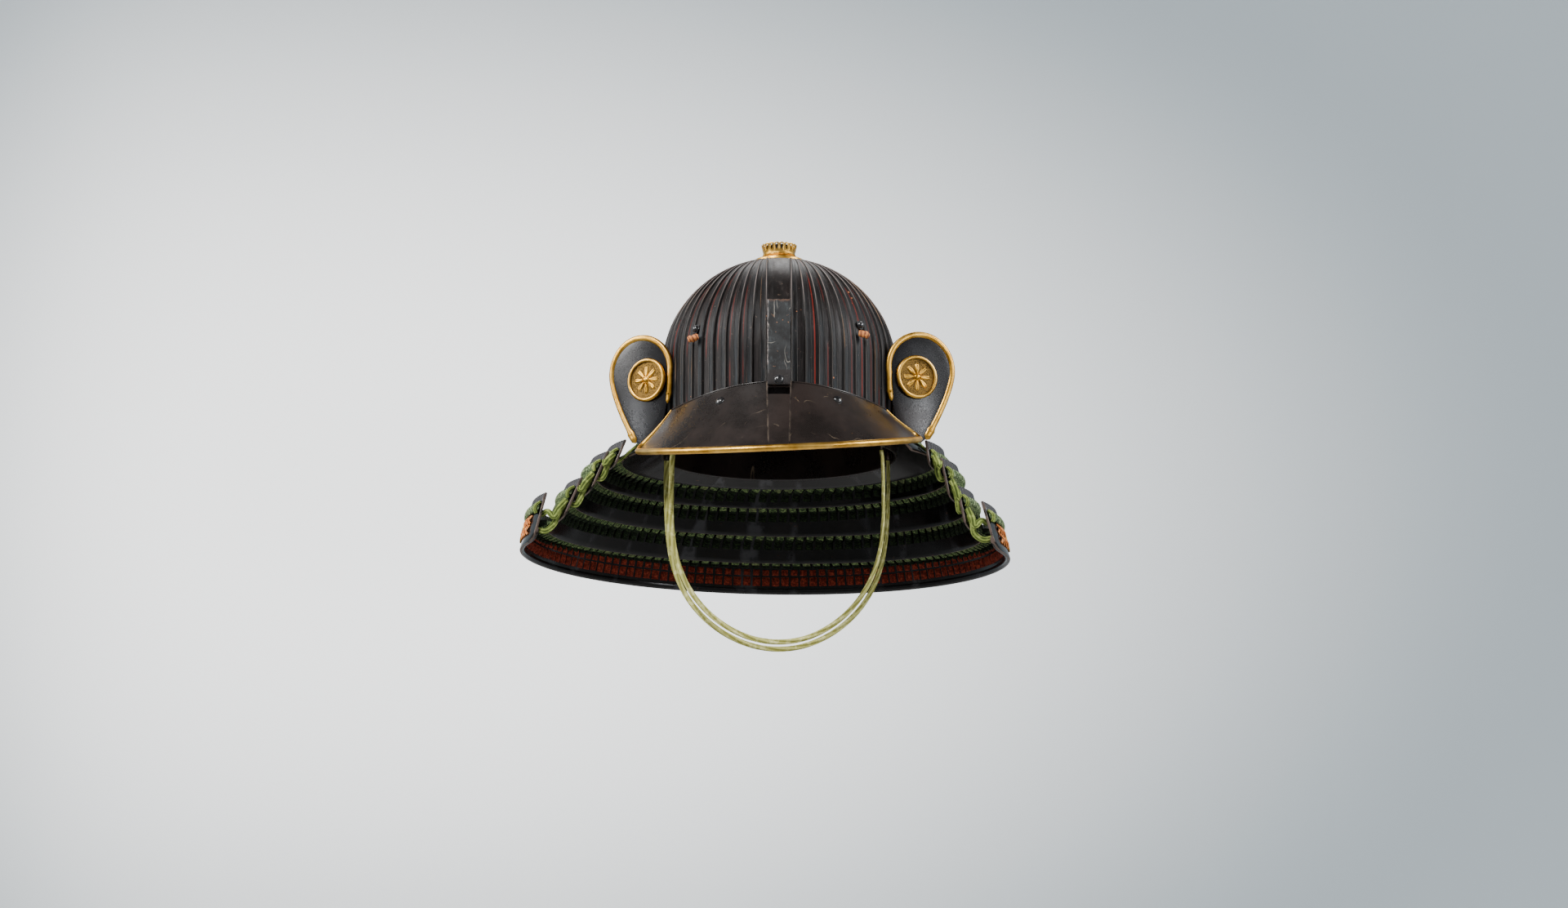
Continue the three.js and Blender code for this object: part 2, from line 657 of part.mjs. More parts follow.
// A point on the outer face of a lame. along runs from -1 at its front end on the wearer's right,
// through 0 at the back, to 1; up is 0 at the lower edge and 1 at the upper.
function onLame(lame, along, up) {
  const endSin = lame.endX / lame.halfWidth;
  const endTurn = Math.PI - Math.asin(endSin);
  const turn = along * endTurn;
  const front = (lame.widestY - lame.endY) / -Math.cos(endTurn);
  const reach = Math.cos(turn) > 0 ? lame.backY - lame.widestY : front;
  const x = lame.halfWidth * Math.sin(turn);
  const y = lame.widestY + reach * Math.cos(turn);
  const z = lerp(lame.backZ, lame.endZ, (Math.sin(turn / 2) / Math.sin(endTurn / 2)) ** 2);
  if (lame === LAMES[0]) {
    return onFirstLame(point(x, y, z), along, up);
  }
  const flareX = lame.flare * up * Math.sin(turn);
  const flareY = lame.flareBack * up * Math.cos(turn);
  const shift = lerp(lame.shiftFoot, lame.shiftTop, up);
  return point(x - flareX + shift, y - flareY, z + lame.rise * up - lame.lean * x);
}

// The first lame is riveted to the bowl band, so its upper edge lies on the band.
function onFirstLame(foot, along, up) {
  const turn = rad(along * FIRST_LAME_TOP.endTurn);
  const clear = FIRST_LAME_TOP.clear;
  const top = point(
    (BAND.halfWidth + clear) * Math.sin(turn),
    (BAND.halfDepth + clear) * Math.cos(turn),
    FIRST_LAME_TOP.z,
  );
  return foot.lerp(top, up);
}

const MAIN_COLUMNS = steps(-MAIN_COLUMN_END, MAIN_COLUMN_END, 24);

// Columns of a lame, closer together at its rounded lower front corners.
function lameColumns(lame) {
  const endShares = lame.corner > 0 ? [0.975, 0.99, 1] : [1];
  return [...endShares.map((share) => -share).reverse(), ...MAIN_COLUMNS, ...endShares];
}

function lameFoot(lame, along) {
  const height = Math.hypot(lame.rise, lame.flare) || 1;
  const share = THREE.MathUtils.clamp((Math.abs(along) - MAIN_COLUMN_END) / (1 - MAIN_COLUMN_END), 0, 1);
  return (lame.corner / height) * (1 - Math.sqrt(1 - (share * CORNER_FULLNESS) ** 2));
}

function makeLames() {
  for (const lame of LAMES) {
    const columns = lameColumns(lame);
    const grid = [0, 1].map((up) => columns.map((along) => onLame(
      lame, along, lerp(lameFoot(lame, along), 1, up),
    )));
    add(lame.name, wallBetween(grid, offsetGrid(grid, LAME_WALL)), 'lame_lacquer');
  }
}

// A point on the inner face of a lame, clear of it.
function insideLame(lame, along, up, clear) {
  const place = onLame(lame, along, up);
  const step = 0.01;
  const round = onLame(lame, along + step, up).sub(onLame(lame, along - step, up));
  const rise = onLame(lame, along, up + step).sub(onLame(lame, along, up - step));
  const outwards = rise.cross(round).normalize();
  return place.addScaledVector(outwards, -clear);
}

// How far up the lower of two lames the lacing reaches its inner face, drop below the upper lame's edge.
function lacedHeight(upper, lower, along, drop) {
  return (onLame(upper, along, 0).z - drop - onLame(lower, along, 0).z) / lower.rise;
}

// The lacing between two lames: it lies on the upper lame, passes its lower edge and ends behind the
// lower lame's face.
function makeLacing() {
  for (let k = 0; k < LAMES.length - 1; k += 1) {
    const upper = LAMES[k];
    const lower = LAMES[k + 1];
    const onUpper = -(LACING.thickness + 2 * GAP);
    const columns = MAIN_COLUMNS.filter((along) => Math.abs(along) < upper.lacedTo);
    const behind = (along) => {
      const up = lacedHeight(upper, lower, along, LACING.drop);
      return insideLame(lower, along, up, LAME_WALL + GAP);
    };
    const grid = [
      columns.map(behind),
      columns.map((along) => insideLame(upper, along, 0, onUpper - GAP)),
      columns.map((along) => insideLame(upper, along, LACING.topShare, onUpper)),
    ];
    add(`lacing_${k + 1}`, wallBetween(grid, offsetGrid(grid, LACING.thickness)), 'lacing');
  }
}

// A round lace at each front end, from one lame's outer face down to the next lame's inner face.
function makeEdgeLaces() {
  const clear = EDGE_LACE.radius + GAP;
  for (const [name, side] of SIDES) {
    for (let k = 0; k < LAMES.length - 1; k += 1) {
      const upper = LAMES[k];
      const lower = LAMES[k + 1];
      const along = side * upper.edgeLaceAt;
      const top = insideLame(upper, along, EDGE_LACE.topShare, -clear);
      const edge = insideLame(upper, along, 0, -(clear + GAP));
      const up = lacedHeight(upper, lower, along, LACING.drop);
      const end = insideLame(lower, along, up, LAME_WALL + clear);
      const turn = edge.clone().lerp(end, 0.5).add(point(0, 0, -EDGE_LACE.dip));
      add(`edge_lace_${name}_${k + 1}`, tube([top, edge, turn, end], EDGE_LACE.radius, 6, 5), 'cord');
    }
  }
}

// A thin gilt disc on the last lame, over its widest part on each side.
function makeTailDiscs() {
  const last = LAMES[LAMES.length - 1];
  const { radius, thickness } = TAIL_DISC;
  for (const [name, side] of SIDES) {
    const along = side * TAIL_DISC.share;
    const place = insideLame(last, along, TAIL_DISC.height, -TAIL_DISC.clear);
    const outwards = place.clone().sub(onLame(last, along, TAIL_DISC.height));
    const disc = lathe([[0, 0], [radius, 0], [radius, thickness], [0, thickness]], 16);
    stand(add(`tail_disc_${name}`, disc, 'gilt'), place, outwards);
  }
}

// ---------------------------------------------------------------- chin cords

function makeChinCords() {
  for (const [name, rows] of Object.entries(CORD_ROUTES)) {
    const half = rows.map(([x, y, z]) => point(x, y, z));
    const mirrored = half.slice(0, -1).map((p) => point(-p.x * CORD_SPREAD.right, p.y, p.z)).reverse();
    add(name, tube([...half, ...mirrored], CORD.diameter / 2, 8, 32), 'cord');
    const start = half[0];
    for (const [sideName, side] of SIDES) {
      const ring = new THREE.TorusGeometry(RING.radius, RING.wire, 5, 8);
      ring.rotateY(Math.PI / 2);
      const x = -side * start.x * CORD_SPREAD[sideName];
      add(`ring_${name}_${sideName}`, ring, 'iron').position.set(x, start.y, RING.z);
    }
  }
}

makeBowl();
makeBand();
makeCrown();
makePeak();
makePeakRim();
makePost();
makePeakRivets();
makeStuds();
makeEars();
makeLames();
makeLacing();
makeEdgeLaces();
makeTailDiscs();
makeChinCords();

export default helmet;
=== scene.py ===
"""A kabuto helmet, dressed over its CAD frame: ridged bowl, gilt crown, peak, ears, laced neck guard.

Pieces are shaped in millimetres and scaled to metres when they are finished. Left and right are as seen
from the front.
"""

import random
from math import acos, asin, atan2, copysign, cos, degrees, exp, pi, radians, sin, sqrt

import bmesh
import bpy
from mathutils import Matrix, Vector


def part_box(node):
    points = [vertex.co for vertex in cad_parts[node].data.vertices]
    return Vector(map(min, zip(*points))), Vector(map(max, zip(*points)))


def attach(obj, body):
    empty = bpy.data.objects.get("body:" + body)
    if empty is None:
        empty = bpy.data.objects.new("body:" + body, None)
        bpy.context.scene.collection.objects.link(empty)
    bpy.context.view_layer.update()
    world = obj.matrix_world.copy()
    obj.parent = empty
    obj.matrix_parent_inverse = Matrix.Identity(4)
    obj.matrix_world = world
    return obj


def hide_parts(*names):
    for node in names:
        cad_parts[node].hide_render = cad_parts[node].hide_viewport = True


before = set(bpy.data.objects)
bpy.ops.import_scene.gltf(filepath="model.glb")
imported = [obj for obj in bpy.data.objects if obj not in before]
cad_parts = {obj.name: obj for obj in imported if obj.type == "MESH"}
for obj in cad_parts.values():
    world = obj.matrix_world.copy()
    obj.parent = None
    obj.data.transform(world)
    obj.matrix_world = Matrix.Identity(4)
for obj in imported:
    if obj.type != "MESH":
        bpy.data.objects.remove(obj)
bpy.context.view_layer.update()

MM = 0.001
GAP = 0.35                  # left between the bowl's ridges and the peak
SIDES = (("left", -1), ("right", 1))
random.seed(52)

# ---------------------------------------------------------------- sizes, in millimetres

BOWL = {
    "half_width": 106.3,
    "half_depth": 121.8,
    "height": 184.8,
    "spring": 80,
    "wall": 2.4,
    "ridge": 2.2,
    "front_plate": 5.9,
    "plates_per_side": 25,
    "levels": (28, 33, 40, 50, 60, 70),
    "hole": 13,
}
BAND = {"half_width": 108.5, "half_depth": 124}
PEAK = {
    "wall": 2.4,
    "attach_angle": 60,
    "attach_end": 32.9,
    "attach_rise": 14.7,
    "attach_waves": 1.27,
    "rim_half_width": 130.5,
    "rim_front_y": -168,
    "rim_front_z": -19.8,
    "corner_angle": 80,
    "corner_y": -56,
    "corner_z": 2.3,
    "lean": 0.044,
    "hollow": 3.2,
    "corner_radius": 12,
    "band_top": 10.6,
    "band_foot": 8.9,
    "band_raise": 1.8,
    "span": 178,
    "rim_radius": 2.7,
}
POST = {"thickness": 2.6, "lean": 8.05, "bevel": 0.45, "worn_top": 0.9, "worn_side": 0.3}
SLOT = {"width": 19.6, "depth": 20, "height": 7, "z": 37.2}
EAR = {
    "inner_x": 98.4,
    "inner_y": -60,
    "thickness": 2.2,
    "dish": 2.5,
    "dish_tall": 65,
    "rim": 2.75,
    "crown": (33.6, 73.7),
    "crown_radius": 34.3,
    "tip": (41, 8),
    "outer_pull": (62.5, 45),
    "inner_pull": (-0.5, 53),
    "inner_end": (2.4, 42),
    "outer_turn": -12,
    "inner_turn": 190,
    "fold": ((8.5, 29), (14, 18.5), (22, 10.5), (33, 5)),
    "middle": (30.6, 59.7),
}
EAR_SIDES = {"left": {"yaw": 31, "lift": -1.4}, "right": {"yaw": 22, "lift": 0.8}}
LAME_COLUMNS = (
    "name", "half_width", "back_y", "widest_y", "end_x", "end_y", "end_z", "back_z", "rise", "flare",
    "flare_back", "shift_top", "shift_foot", "lean", "corner",
)
LAME_ROWS = (
    ("neck_lame_1", 146, 152, 20, 121, -40, 1, -3, 0, 0, 0, 0, 0, 0, 0),
    ("neck_lame_2", 163, 168, 22, 144, -40, -16, -20, 27, 8, 6, -3, -6.5, 0.003, 7),
    ("neck_lame_3", 182.5, 184, 19, 164, -42, -43, -45, 40.5, 14, 9, -4, -8.4, 0.019, 9),
    ("neck_lame_4", 201, 200, 16, 183, -45, -68.5, -69, 40.5, 14, 9, -8.6, -13.3, 0.021, 9),
    ("neck_lame_5", 225, 218, 12, 209, -48, -87, -97, 44.5, 12.5, 9, -13.5, -13, 0.019, 9),
)
LAME_WALL = 2.4             # a lame's thickness
LAME_CORNER_AT = 0.955      # how far along a lame the rounding of its front corner starts
FIRST_LAME_TOP = {"z": 21, "clear": 3.2, "end_turn": 114}
CORD_WIDTH = 4.8
CORD_THICKNESS = 2.2
CORD_SPREAD_RIGHT = 0.968   # the right half hangs a little nearer the middle than the left
CORD_ROUTES = {
    "chin_cord_front": (
        (-95.8, -45, -0.2), (-96.5, -44, -8), (-97.2, -42, -22), (-97.4, -40.3, -38), (-97.5, -39.5, -54),
        (-96.6, -39.3, -72), (-93.8, -40.2, -92), (-87.4, -41.4, -113), (-76.5, -42.8, -133),
        (-61, -44.2, -150.5), (-42, -45.2, -164), (-21.5, -45.9, -172.3), (0, -46.2, -175),
    ),
    "chin_cord_rear": (
        (-103.6, 12, -0.2), (-103.8, 12, -8), (-103.9, 11.5, -22), (-103.5, 10, -38), (-102.9, 7.2, -54),
        (-101.4, 3, -72), (-98.2, -3, -92.5), (-91.4, -10.4, -114.5), (-79.8, -18.4, -136),
        (-63.4, -25.6, -154.5), (-43.6, -31, -168.6), (-22.2, -34.2, -177.3), (0, -35.2, -180.2),
    ),
}

# ---------------------------------------------------------------- small maths


def lerp(a, b, share):
    return a + (b - a) * share


def clamp(value, low=0.0, high=1.0):
    return max(low, min(high, value))


def smoothstep(low, high, value):
    """0 at low, 1 at high, smooth between them; high may be the lower number."""
    share = clamp((value - low) / (high - low))
    return share * share * (3 - 2 * share)


def shares(count):
    return [k / count for k in range(count + 1)]


def along_polyline(points, distance):
    """The point that far along a list of points."""
    for k in range(len(points) - 1):
        step = (points[k + 1] - points[k]).length
        if distance <= step or k == len(points) - 2:
            return points[k].lerp(points[k + 1], distance / step if step else 0)
        distance -= step


def polyline_length(points):
    return sum((b - a).length for a, b in zip(points, points[1:]))


def respaced(points, count):
    """count + 1 points, evenly spaced along a list of points."""
    length = polyline_length(points)
    return [along_polyline(points, length * share) for share in shares(count)]


def smooth_route(points, per_span):
    """A centripetal Catmull-Rom curve through the points."""
    ends = [points[0] * 2 - points[1], *points, points[-1] * 2 - points[-2]]
    route = []
    for p0, p1, p2, p3 in zip(ends, ends[1:], ends[2:], ends[3:]):
        t1 = sqrt((p1 - p0).length)
        t2 = t1 + sqrt((p2 - p1).length)
        t3 = t2 + sqrt((p3 - p2).length)
        for k in range(per_span):
            t = lerp(t1, t2, k / per_span)
            middle = p1.lerp(p2, (t - t1) / (t2 - t1))
            before = p0.lerp(p1, t / t1).lerp(middle, t / t2)
            after = middle.lerp(p2.lerp(p3, (t - t2) / (t3 - t2)), (t - t1) / (t3 - t1))
            route.append(before.lerp(after, (t - t1) / (t2 - t1)))
    return [*route, points[-1]]


def bezier(a, b, c, share):
    return a.lerp(b, share).lerp(b.lerp(c, share), share)


def on_oval(half_width, half_depth, turn, z):
    """A place on an oval round the helmet's middle; a turn of 0 is its front."""
    return Vector((half_width * sin(turn), -half_depth * cos(turn), z))


def box_of(node):
    """The corners of a CAD node's box, in millimetres."""
    return [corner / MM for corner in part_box(node)]


def middle_of(node):
    low, high = box_of(node)
    return (low + high) / 2


# ---------------------------------------------------------------- meshes


def grid(bm, columns, rows, place, uv_size=(1, 1)):
    """A sheet of faces: place(u, v) puts its corners in space, u and v from 0 to 1."""
    made = bmesh.ops.create_grid(bm, x_segments=columns, y_segments=rows, size=1)["verts"]
    uv = bm.loops.layers.uv.verify()
    spot = {vert: ((vert.co.x + 1) / 2, (vert.co.y + 1) / 2) for vert in made}
    for vert, (u, v) in spot.items():
        vert.co = place(u, v)
    for face in {face for vert in made for face in vert.link_faces}:
        for loop in face.loops:
            u, v = spot[loop.vert]
            loop[uv].uv = (u * uv_size[0], v * uv_size[1])
    return made


def weld(bm, verts):
    bmesh.ops.remove_doubles(bm, verts=verts, dist=0.001)


def sheet(columns, rows, place):
    """A new mesh with one grid in it, whose seams and poles are closed."""
    bm = bmesh.new()
    weld(bm, grid(bm, columns, rows, place))
    return bm


def cap(bm, verts):
    edges = {edge for vert in verts if vert.is_valid for edge in vert.link_edges if edge.is_boundary}
    bmesh.ops.holes_fill(bm, edges=list(edges), sides=0)


def sweep(bm, path, section, around, normals, length=None, closed=True):
    """A tube along a path. section(u, v) gives the offset across it and along its normal.

    normals holds one for each point of the path, or a single one that is carried along it. The second
    surface coordinate runs up to length, which is the path's own length unless it is given.
    """
    rows = len(path) - 1
    carried = normals
    axes = []
    for k in range(len(path)):
        tangent = (path[min(k + 1, rows)] - path[max(k - 1, 0)]).normalized()
        normal = normals[k] if isinstance(normals, list) else carried
        carried = (normal - tangent * normal.dot(tangent)).normalized()
        axes.append((tangent, carried))

    def place(u, v):
        k = round(v * rows)
        tangent, normal = axes[k]
        across, out = section(u, v)
        return path[k] + tangent.cross(normal) * across + normal * out

    made = grid(bm, around, rows, place, (1, length or polyline_length(path)))
    weld(bm, made)
    if closed:
        cap(bm, made)
    faces = {face for vert in made if vert.is_valid for face in vert.link_faces}
    bmesh.ops.recalc_face_normals(bm, faces=list(faces))


def flat_section(width, thickness, fullness=0.7):
    """The rounded section of a flat braid."""

    def section(u, _v):
        across, out = cos(u * 2 * pi), sin(u * 2 * pi)
        return (
            copysign(abs(across) ** fullness, across) * width / 2,
            copysign(abs(out) ** fullness, out) * thickness / 2,
        )

    return section


def round_section(radius):
    return flat_section(radius * 2, radius * 2, 1)


def spun(profile, steps, bm=None):
    """A profile of (radius, height) points, turned all the way round and closed."""
    bm = bmesh.new() if bm is None else bm
    verts = [bm.verts.new((radius, 0, height)) for radius, height in profile]
    edges = [bm.edges.new(pair) for pair in zip(verts, verts[1:])]
    bmesh.ops.spin(
        bm, geom=verts + edges, cent=(0, 0, 0), axis=(0, 0, 1), angle=2 * pi, steps=steps, use_merge=True
    )
    weld(bm, bm.verts)
    return bm


def dome(radius, foot, height, steps):
    """The profile of a dome, from its foot to its top."""
    turns = [share * pi / 2 for share in shares(steps)]
    return [(max(radius * cos(turn), 0.001), foot + height * sin(turn)) for turn in turns]


def stand(bm, middle, normal):
    """Turns a mesh that was made upright along a normal, and moves it to its place."""
    turn = Vector((0, 0, 1)).rotation_difference(normal).to_matrix().to_4x4()
    bmesh.ops.transform(bm, matrix=Matrix.Translation(middle) @ turn, verts=bm.verts)


def new_object(name, bm, *finishes):
    """An object in the scene from a mesh, which is used up."""
    mesh = bpy.data.meshes.new(name)
    bm.to_mesh(mesh)
    bm.free()
    for finish in finishes:
        mesh.materials.append(finish)
    made = bpy.data.objects.new(name, mesh)
    bpy.context.scene.collection.objects.link(made)
    return made


def piece(name, bm, finish, slot, replaced=(), angle=38, recalc=False):
    """Finishes a mesh: scales it to metres, shades it, and rides it on the helmet."""
    bmesh.ops.scale(bm, vec=(MM, MM, MM), verts=bm.verts)
    if recalc:
        bmesh.ops.recalc_face_normals(bm, faces=bm.faces)
    made = new_object(name, bm, finish)
    made.data.shade_smooth()
    made.data.set_sharp_from_angle(angle=radians(angle))
    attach(made, "root")
    if replaced:
        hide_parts(*replaced)
    return made


# ---------------------------------------------------------------- materials


class Flow:
    """A socket in a material's node tree. Maths on it adds the nodes that it stands for."""

    def __init__(self, tree, socket=None):
        self.tree = tree
        self.socket = socket

    def make(self, kind, settings=None, inputs=None, output=0):
        node = self.tree.nodes.new(kind)
        for key, value in (settings or {}).items():
            setattr(node, key, value)
        for key, value in (inputs or {}).items():
            if isinstance(value, Flow):
                self.tree.links.new(value.socket, node.inputs[key])
            else:
                node.inputs[key].default_value = value
        return Flow(self.tree, node.outputs[output]) if len(node.outputs) else None

    def math(self, operation, *values):
        return self.make("ShaderNodeMath", {"operation": operation}, dict(enumerate(values)))

    def __add__(self, other):
        return self.math("ADD", self, other)

    def __sub__(self, other):
        return self.math("SUBTRACT", self, other)

    def __rsub__(self, other):
        return self.math("SUBTRACT", other, self)

    def __mul__(self, other):
        return self.math("MULTIPLY", self, other)

    def __truediv__(self, other):
        return self.math("DIVIDE", self, other)

    def __pow__(self, other):
        return self.math("POWER", self, other)

    __radd__ = __add__
    __rmul__ = __mul__

    def fraction(self):
        return self.math("FRACT", self)

    def whole(self):
        return self.math("FLOOR", self)

    def absolute(self):
        return self.math("ABSOLUTE", self)

    def sine(self):
        return self.math("SINE", self)

    def wave(self):
        """From 0 to 1 and back, once for each whole number."""
        return (self * (2 * pi)).sine() * 0.5 + 0.5

    def between(self, low, high):
        """0 at low, 1 at high, smooth between them; high may be the lower number."""
        inputs = {"Value": self, "From Min": low, "From Max": high}
        return self.make("ShaderNodeMapRange", {"interpolation_type": "SMOOTHSTEP"}, inputs)

    def near(self, middle, far, close):
        """1 within close of a middle value, 0 farther from it than far."""
        return (self - middle).absolute().between(far, close)

    def noise(self, scale, detail=3, roughness=0.55):
        inputs = {"Vector": self, "Scale": scale, "Detail": detail, "Roughness": roughness}
        return self.make("ShaderNodeTexNoise", None, inputs)

    def cells(self, scale):
        return self.make("ShaderNodeTexVoronoi", None, {"Vector": self, "Scale": scale})

    def stretched(self, x, y, z):
        return self.make("ShaderNodeVectorMath", {"operation": "MULTIPLY"}, {0: self, 1: (x, y, z)})

    def part(self, name):
        return self.make("ShaderNodeSeparateXYZ", None, {0: self}, name)

    def mix(self, first, second):
        """The first colour where this is 0, the second where it is 1."""
        return self.make("ShaderNodeMix", {"data_type": "RGBA"}, {0: self, 6: first, 7: second}, 2)

    def tint(self, first, second):
        """The same with hex codes."""
        return self.mix(colour(first), colour(second))


def colour(code):
    """A linear colour from a hex code."""
    parts = [int(code[k : k + 2], 16) / 255 for k in (0, 2, 4)]
    return (*[p / 12.92 if p <= 0.04045 else ((p + 0.055) / 1.055) ** 2.4 for p in parts], 1)


def coats(base, *layers):
    """Colours laid over a base one by one, each with its mask and how strong it is."""
    for mask, strength, code in layers:
        base = (mask * strength).mix(base, colour(code))
    return base


def begin(name):
    """A new material: itself, its object coordinates and its surface coordinates."""
    made = bpy.data.materials.new(name)
    made.use_nodes = True
    made.node_tree.nodes.clear()
    start = Flow(made.node_tree)
    place = start.make("ShaderNodeTexCoord", output="Object")
    surface = start.make("ShaderNodeTexCoord", output="UV")
    return made, place, surface


def end(made, base, roughness, height=None, strength=0.4, depth=0.0004, **fixed):
    """The surface itself; fixed holds the shader's other sockets, in lower case."""
    start = Flow(made.node_tree)
    inputs = {"Base Color": base, "Roughness": roughness}
    for key, value in fixed.items():
        inputs[key.replace("_", " ").title().replace("Ior", "IOR")] = value
    if height is not None:
        bump = {"Height": height, "Strength": strength, "Distance": depth}
        inputs["Normal"] = start.make("ShaderNodeBump", None, bump)
    shader = start.make("ShaderNodeBsdfPrincipled", None, inputs)
    start.make("ShaderNodeOutputMaterial", None, {"Surface": shader})
    return made


LAME_TOP_SHARE = 0.56       # how far round a lame's section its upper edge lies
PLATES = 52
PLATE_STEPS = 17            # columns of faces across one plate of the bowl
FRONT_PLATE_EDGE = (0.0119, 0.0127)     # from the middle, in metres: the front plate has no bands


def bowl_finish():
    """Worn lacquer: blue-grey bands (a painted reflection, stronger low down) with pale edges (a painted
    highlight) and painted shadow lines beside them, brown grooves between, red in a few of them.
    """
    made, place, surface = begin("bowl lacquer")

    def drawn(along, scale, *rest):
        return surface.stretched(0.72, along, 0).noise(scale, *rest)

    turn = surface.part("X") * PLATES
    raw = turn.fraction()
    flip = place.part("X").between(0.0001, -0.0001)
    phase = raw + flip * (1 - 2 * raw)
    ridge = phase.between(0.075, 0.03) + phase.between(0.925, 0.97)
    band = phase.between(0.1, 0.15) * phase.between(0.46, 0.42)
    lip = phase.near(0.47, 0.045, 0.02)
    shadow = phase.near(0.565, 0.05, 0.02) + phase.near(0.86, 0.06, 0.03)
    streaks = drawn(0.012, 420, 5, 0.65)
    threads = drawn(0.02, 1000, 3)
    long_streaks = drawn(0.03, 160, 4)
    clouds = place.noise(34, 5, 0.62)
    tone = surface.make("ShaderNodeTexWhiteNoise", {"noise_dimensions": "1D"}, {"W": turn.whole()})
    low = place.part("Z").between(0.13, 0.05)
    plated = place.part("X").absolute().between(*FRONT_PLATE_EDGE)
    pale = drawn(0.03, 90, 4).between(0.36, 0.6)
    # pale lines along the ridges and the bands' lips, stronger low down: painted highlight
    edges = (ridge * 0.9 + plated * lip * 0.7) * pale * (low * 0.4 + 0.45)
    # the ridges paler towards the crown
    pale_upper_ridges = ridge * place.part("Z").between(0.11, 0.16)
    tan = (ridge + plated * lip) * drawn(0.05, 75, 3).between(0.58, 0.66)
    broken = place.stretched(1, 1, 0.5).noise(24, 2).between(0.44, 0.52)
    red = tone.between(0.3, 0.34) * 0.3 + tone.between(0.84, 0.86) * 0.45
    chips = place.cells(95).between(0.09, 0.06) * place.noise(16, 2).between(0.57, 0.61)
    base = coats(
        long_streaks.between(0.36, 0.66).tint("0a0706", "181110"),
        # blue-grey tint on the flat bands, stronger low down: painted reflection
        (plated * band * (clouds.between(0.36, 0.6) * 0.5 + low * 0.35), 1, "181c1f"),
        # brighter streaks on the lower bands: painted highlight
        (plated * band * low * streaks.between(0.5, 0.68), 0.5, "434c52"),
        (streaks.between(0.54, 0.74), 0.5, "26211f"),
        (threads.between(0.55, 0.68), 0.35, "3d3734"),
        (threads.between(0.46, 0.36), 0.6, "0a0706"),
        (plated * shadow, 0.85, "050303"),
        # painted highlight along the ridges and lips
        (edges, 1, "6a6662"),
        (pale_upper_ridges, 0.6, "a2948f"),
        (tan, 0.7, "86664a"),
        (red * phase.near(0.7, 0.028, 0.012) * plated * broken, 1, "8e2415"),
        (chips, 1, "c27c50"),
        (place.noise(420, 2).between(0.68, 0.75), 0.45, "6e5c50"),
    )
    roughness = streaks * 0.4 + clouds * 0.25 + threads * 0.15 + 0.12 - ridge * 0.05
    height = threads * 0.8 + streaks * 1.8 + long_streaks * 2 - chips * 0.6
    return end(made, base, roughness, height, 0.5, 0.0006, specular_ior_level=0.2)


def peak_finish():
    """The same lacquer in better keep: glossy brown-black, cloudy, with fine scratches."""
    made, place, _ = begin("peak lacquer")
    clouds = place.noise(22, 5, 0.6)
    fine = place.noise(520, 4)
    fold = (place.part("X").absolute() - place.part("Z") * 0.025).near(0.0095, 0.0009, 0.0003)
    scratch = scratches(place, 38, 0.008)
    base = coats(
        clouds.between(0.4, 0.7).tint("171210", "261e1b"),
        (place.noise(9, 3).between(0.55, 0.75), 0.7, "2e2218"),
        (fold * place.part("Y").between(-0.1, -0.115) * place.noise(90, 4).between(0.4, 0.6), 0.35, "7d6e60"),
        (scratch, 0.5, "8c7a62"),
        (place.cells(190).between(0.07, 0.04) * place.noise(20, 2).between(0.54, 0.6), 0.5, "a07a52"),
    )
    roughness = clouds * 0.24 + fine * 0.1 + scratch * 0.2 + 0.12
    height = fine * 0.25 + clouds * 1.2
    return end(made, base, roughness, height, 0.2, 0.0007, specular_ior_level=0.36)


def scratches(place, scale, width):
    """Thin lines in a few directions, each broken up."""
    lines = [
        place.stretched(*[x * scale for x in tilt]).noise(1.6, 2).near(0.5, width, width * 0.35)
        * place.stretched(*tilt).noise(60, 2).between(0.52, 0.62)
        for tilt in ((1, 0.14, 0.3), (0.22, 0.4, 1), (0.55, 1, 0.12))
    ]
    return (lines[0] + lines[1] + lines[2]).between(0, 1)


def gilt_finish():
    """Old gilding: warm, a little dull, browner in patches, with pin holes."""
    made, place, _ = begin("gilt")
    patches = place.noise(60, 5, 0.65)
    fine = place.noise(700, 4)
    pits = place.cells(420).between(0.16, 0.08) * place.noise(46, 2).between(0.54, 0.6)
    base = coats(
        patches.between(0.35, 0.62).tint("ac7d2c", "d6a648"),
        (place.noise(24, 3).between(0.5, 0.72), 0.7, "ecc26c"),
        (pits, 0.7, "5a3c18"),
    )
    roughness = 0.2 + patches * 0.2 + fine * 0.12
    height = fine * 0.4 + patches * 0.3 - pits * 0.8
    return end(made, base, roughness, height, 0.3, 0.0003, metallic=1.0)


def stippled_gilt():
    """The sunk ground of the discs: punched all over with small dots, and dark in the dots."""
    made, place, _ = begin("stippled gilt")
    dots = place.cells(900)
    base = dots.between(0.2, 0.55).tint("2c2212", "70562b")
    return end(made, base, 0.42 + dots * 0.2, dots.between(0.1, 0.5), 0.6, 0.0004, metallic=1.0)


def ear_finish():
    """Blue-black satin lacquer, faintly streaked."""
    made, place, _ = begin("ear lacquer")
    clouds = place.noise(26, 5, 0.6)
    fine = place.noise(600, 3)
    base = coats(
        clouds.between(0.38, 0.7).tint("060507", "0e0e12"),
        (place.noise(12, 3).between(0.56, 0.72), 0.8, "1c1412"),
        (place.cells(170).between(0.05, 0.03) * place.noise(24, 2).between(0.56, 0.6), 0.5, "7c7468"),
    )
    roughness = clouds * 0.2 + fine * 0.1 + 0.12
    height = fine * 0.2 + clouds * 1.2
    return end(made, base, roughness, height, 0.22, 0.0007, specular_ior_level=0.3)


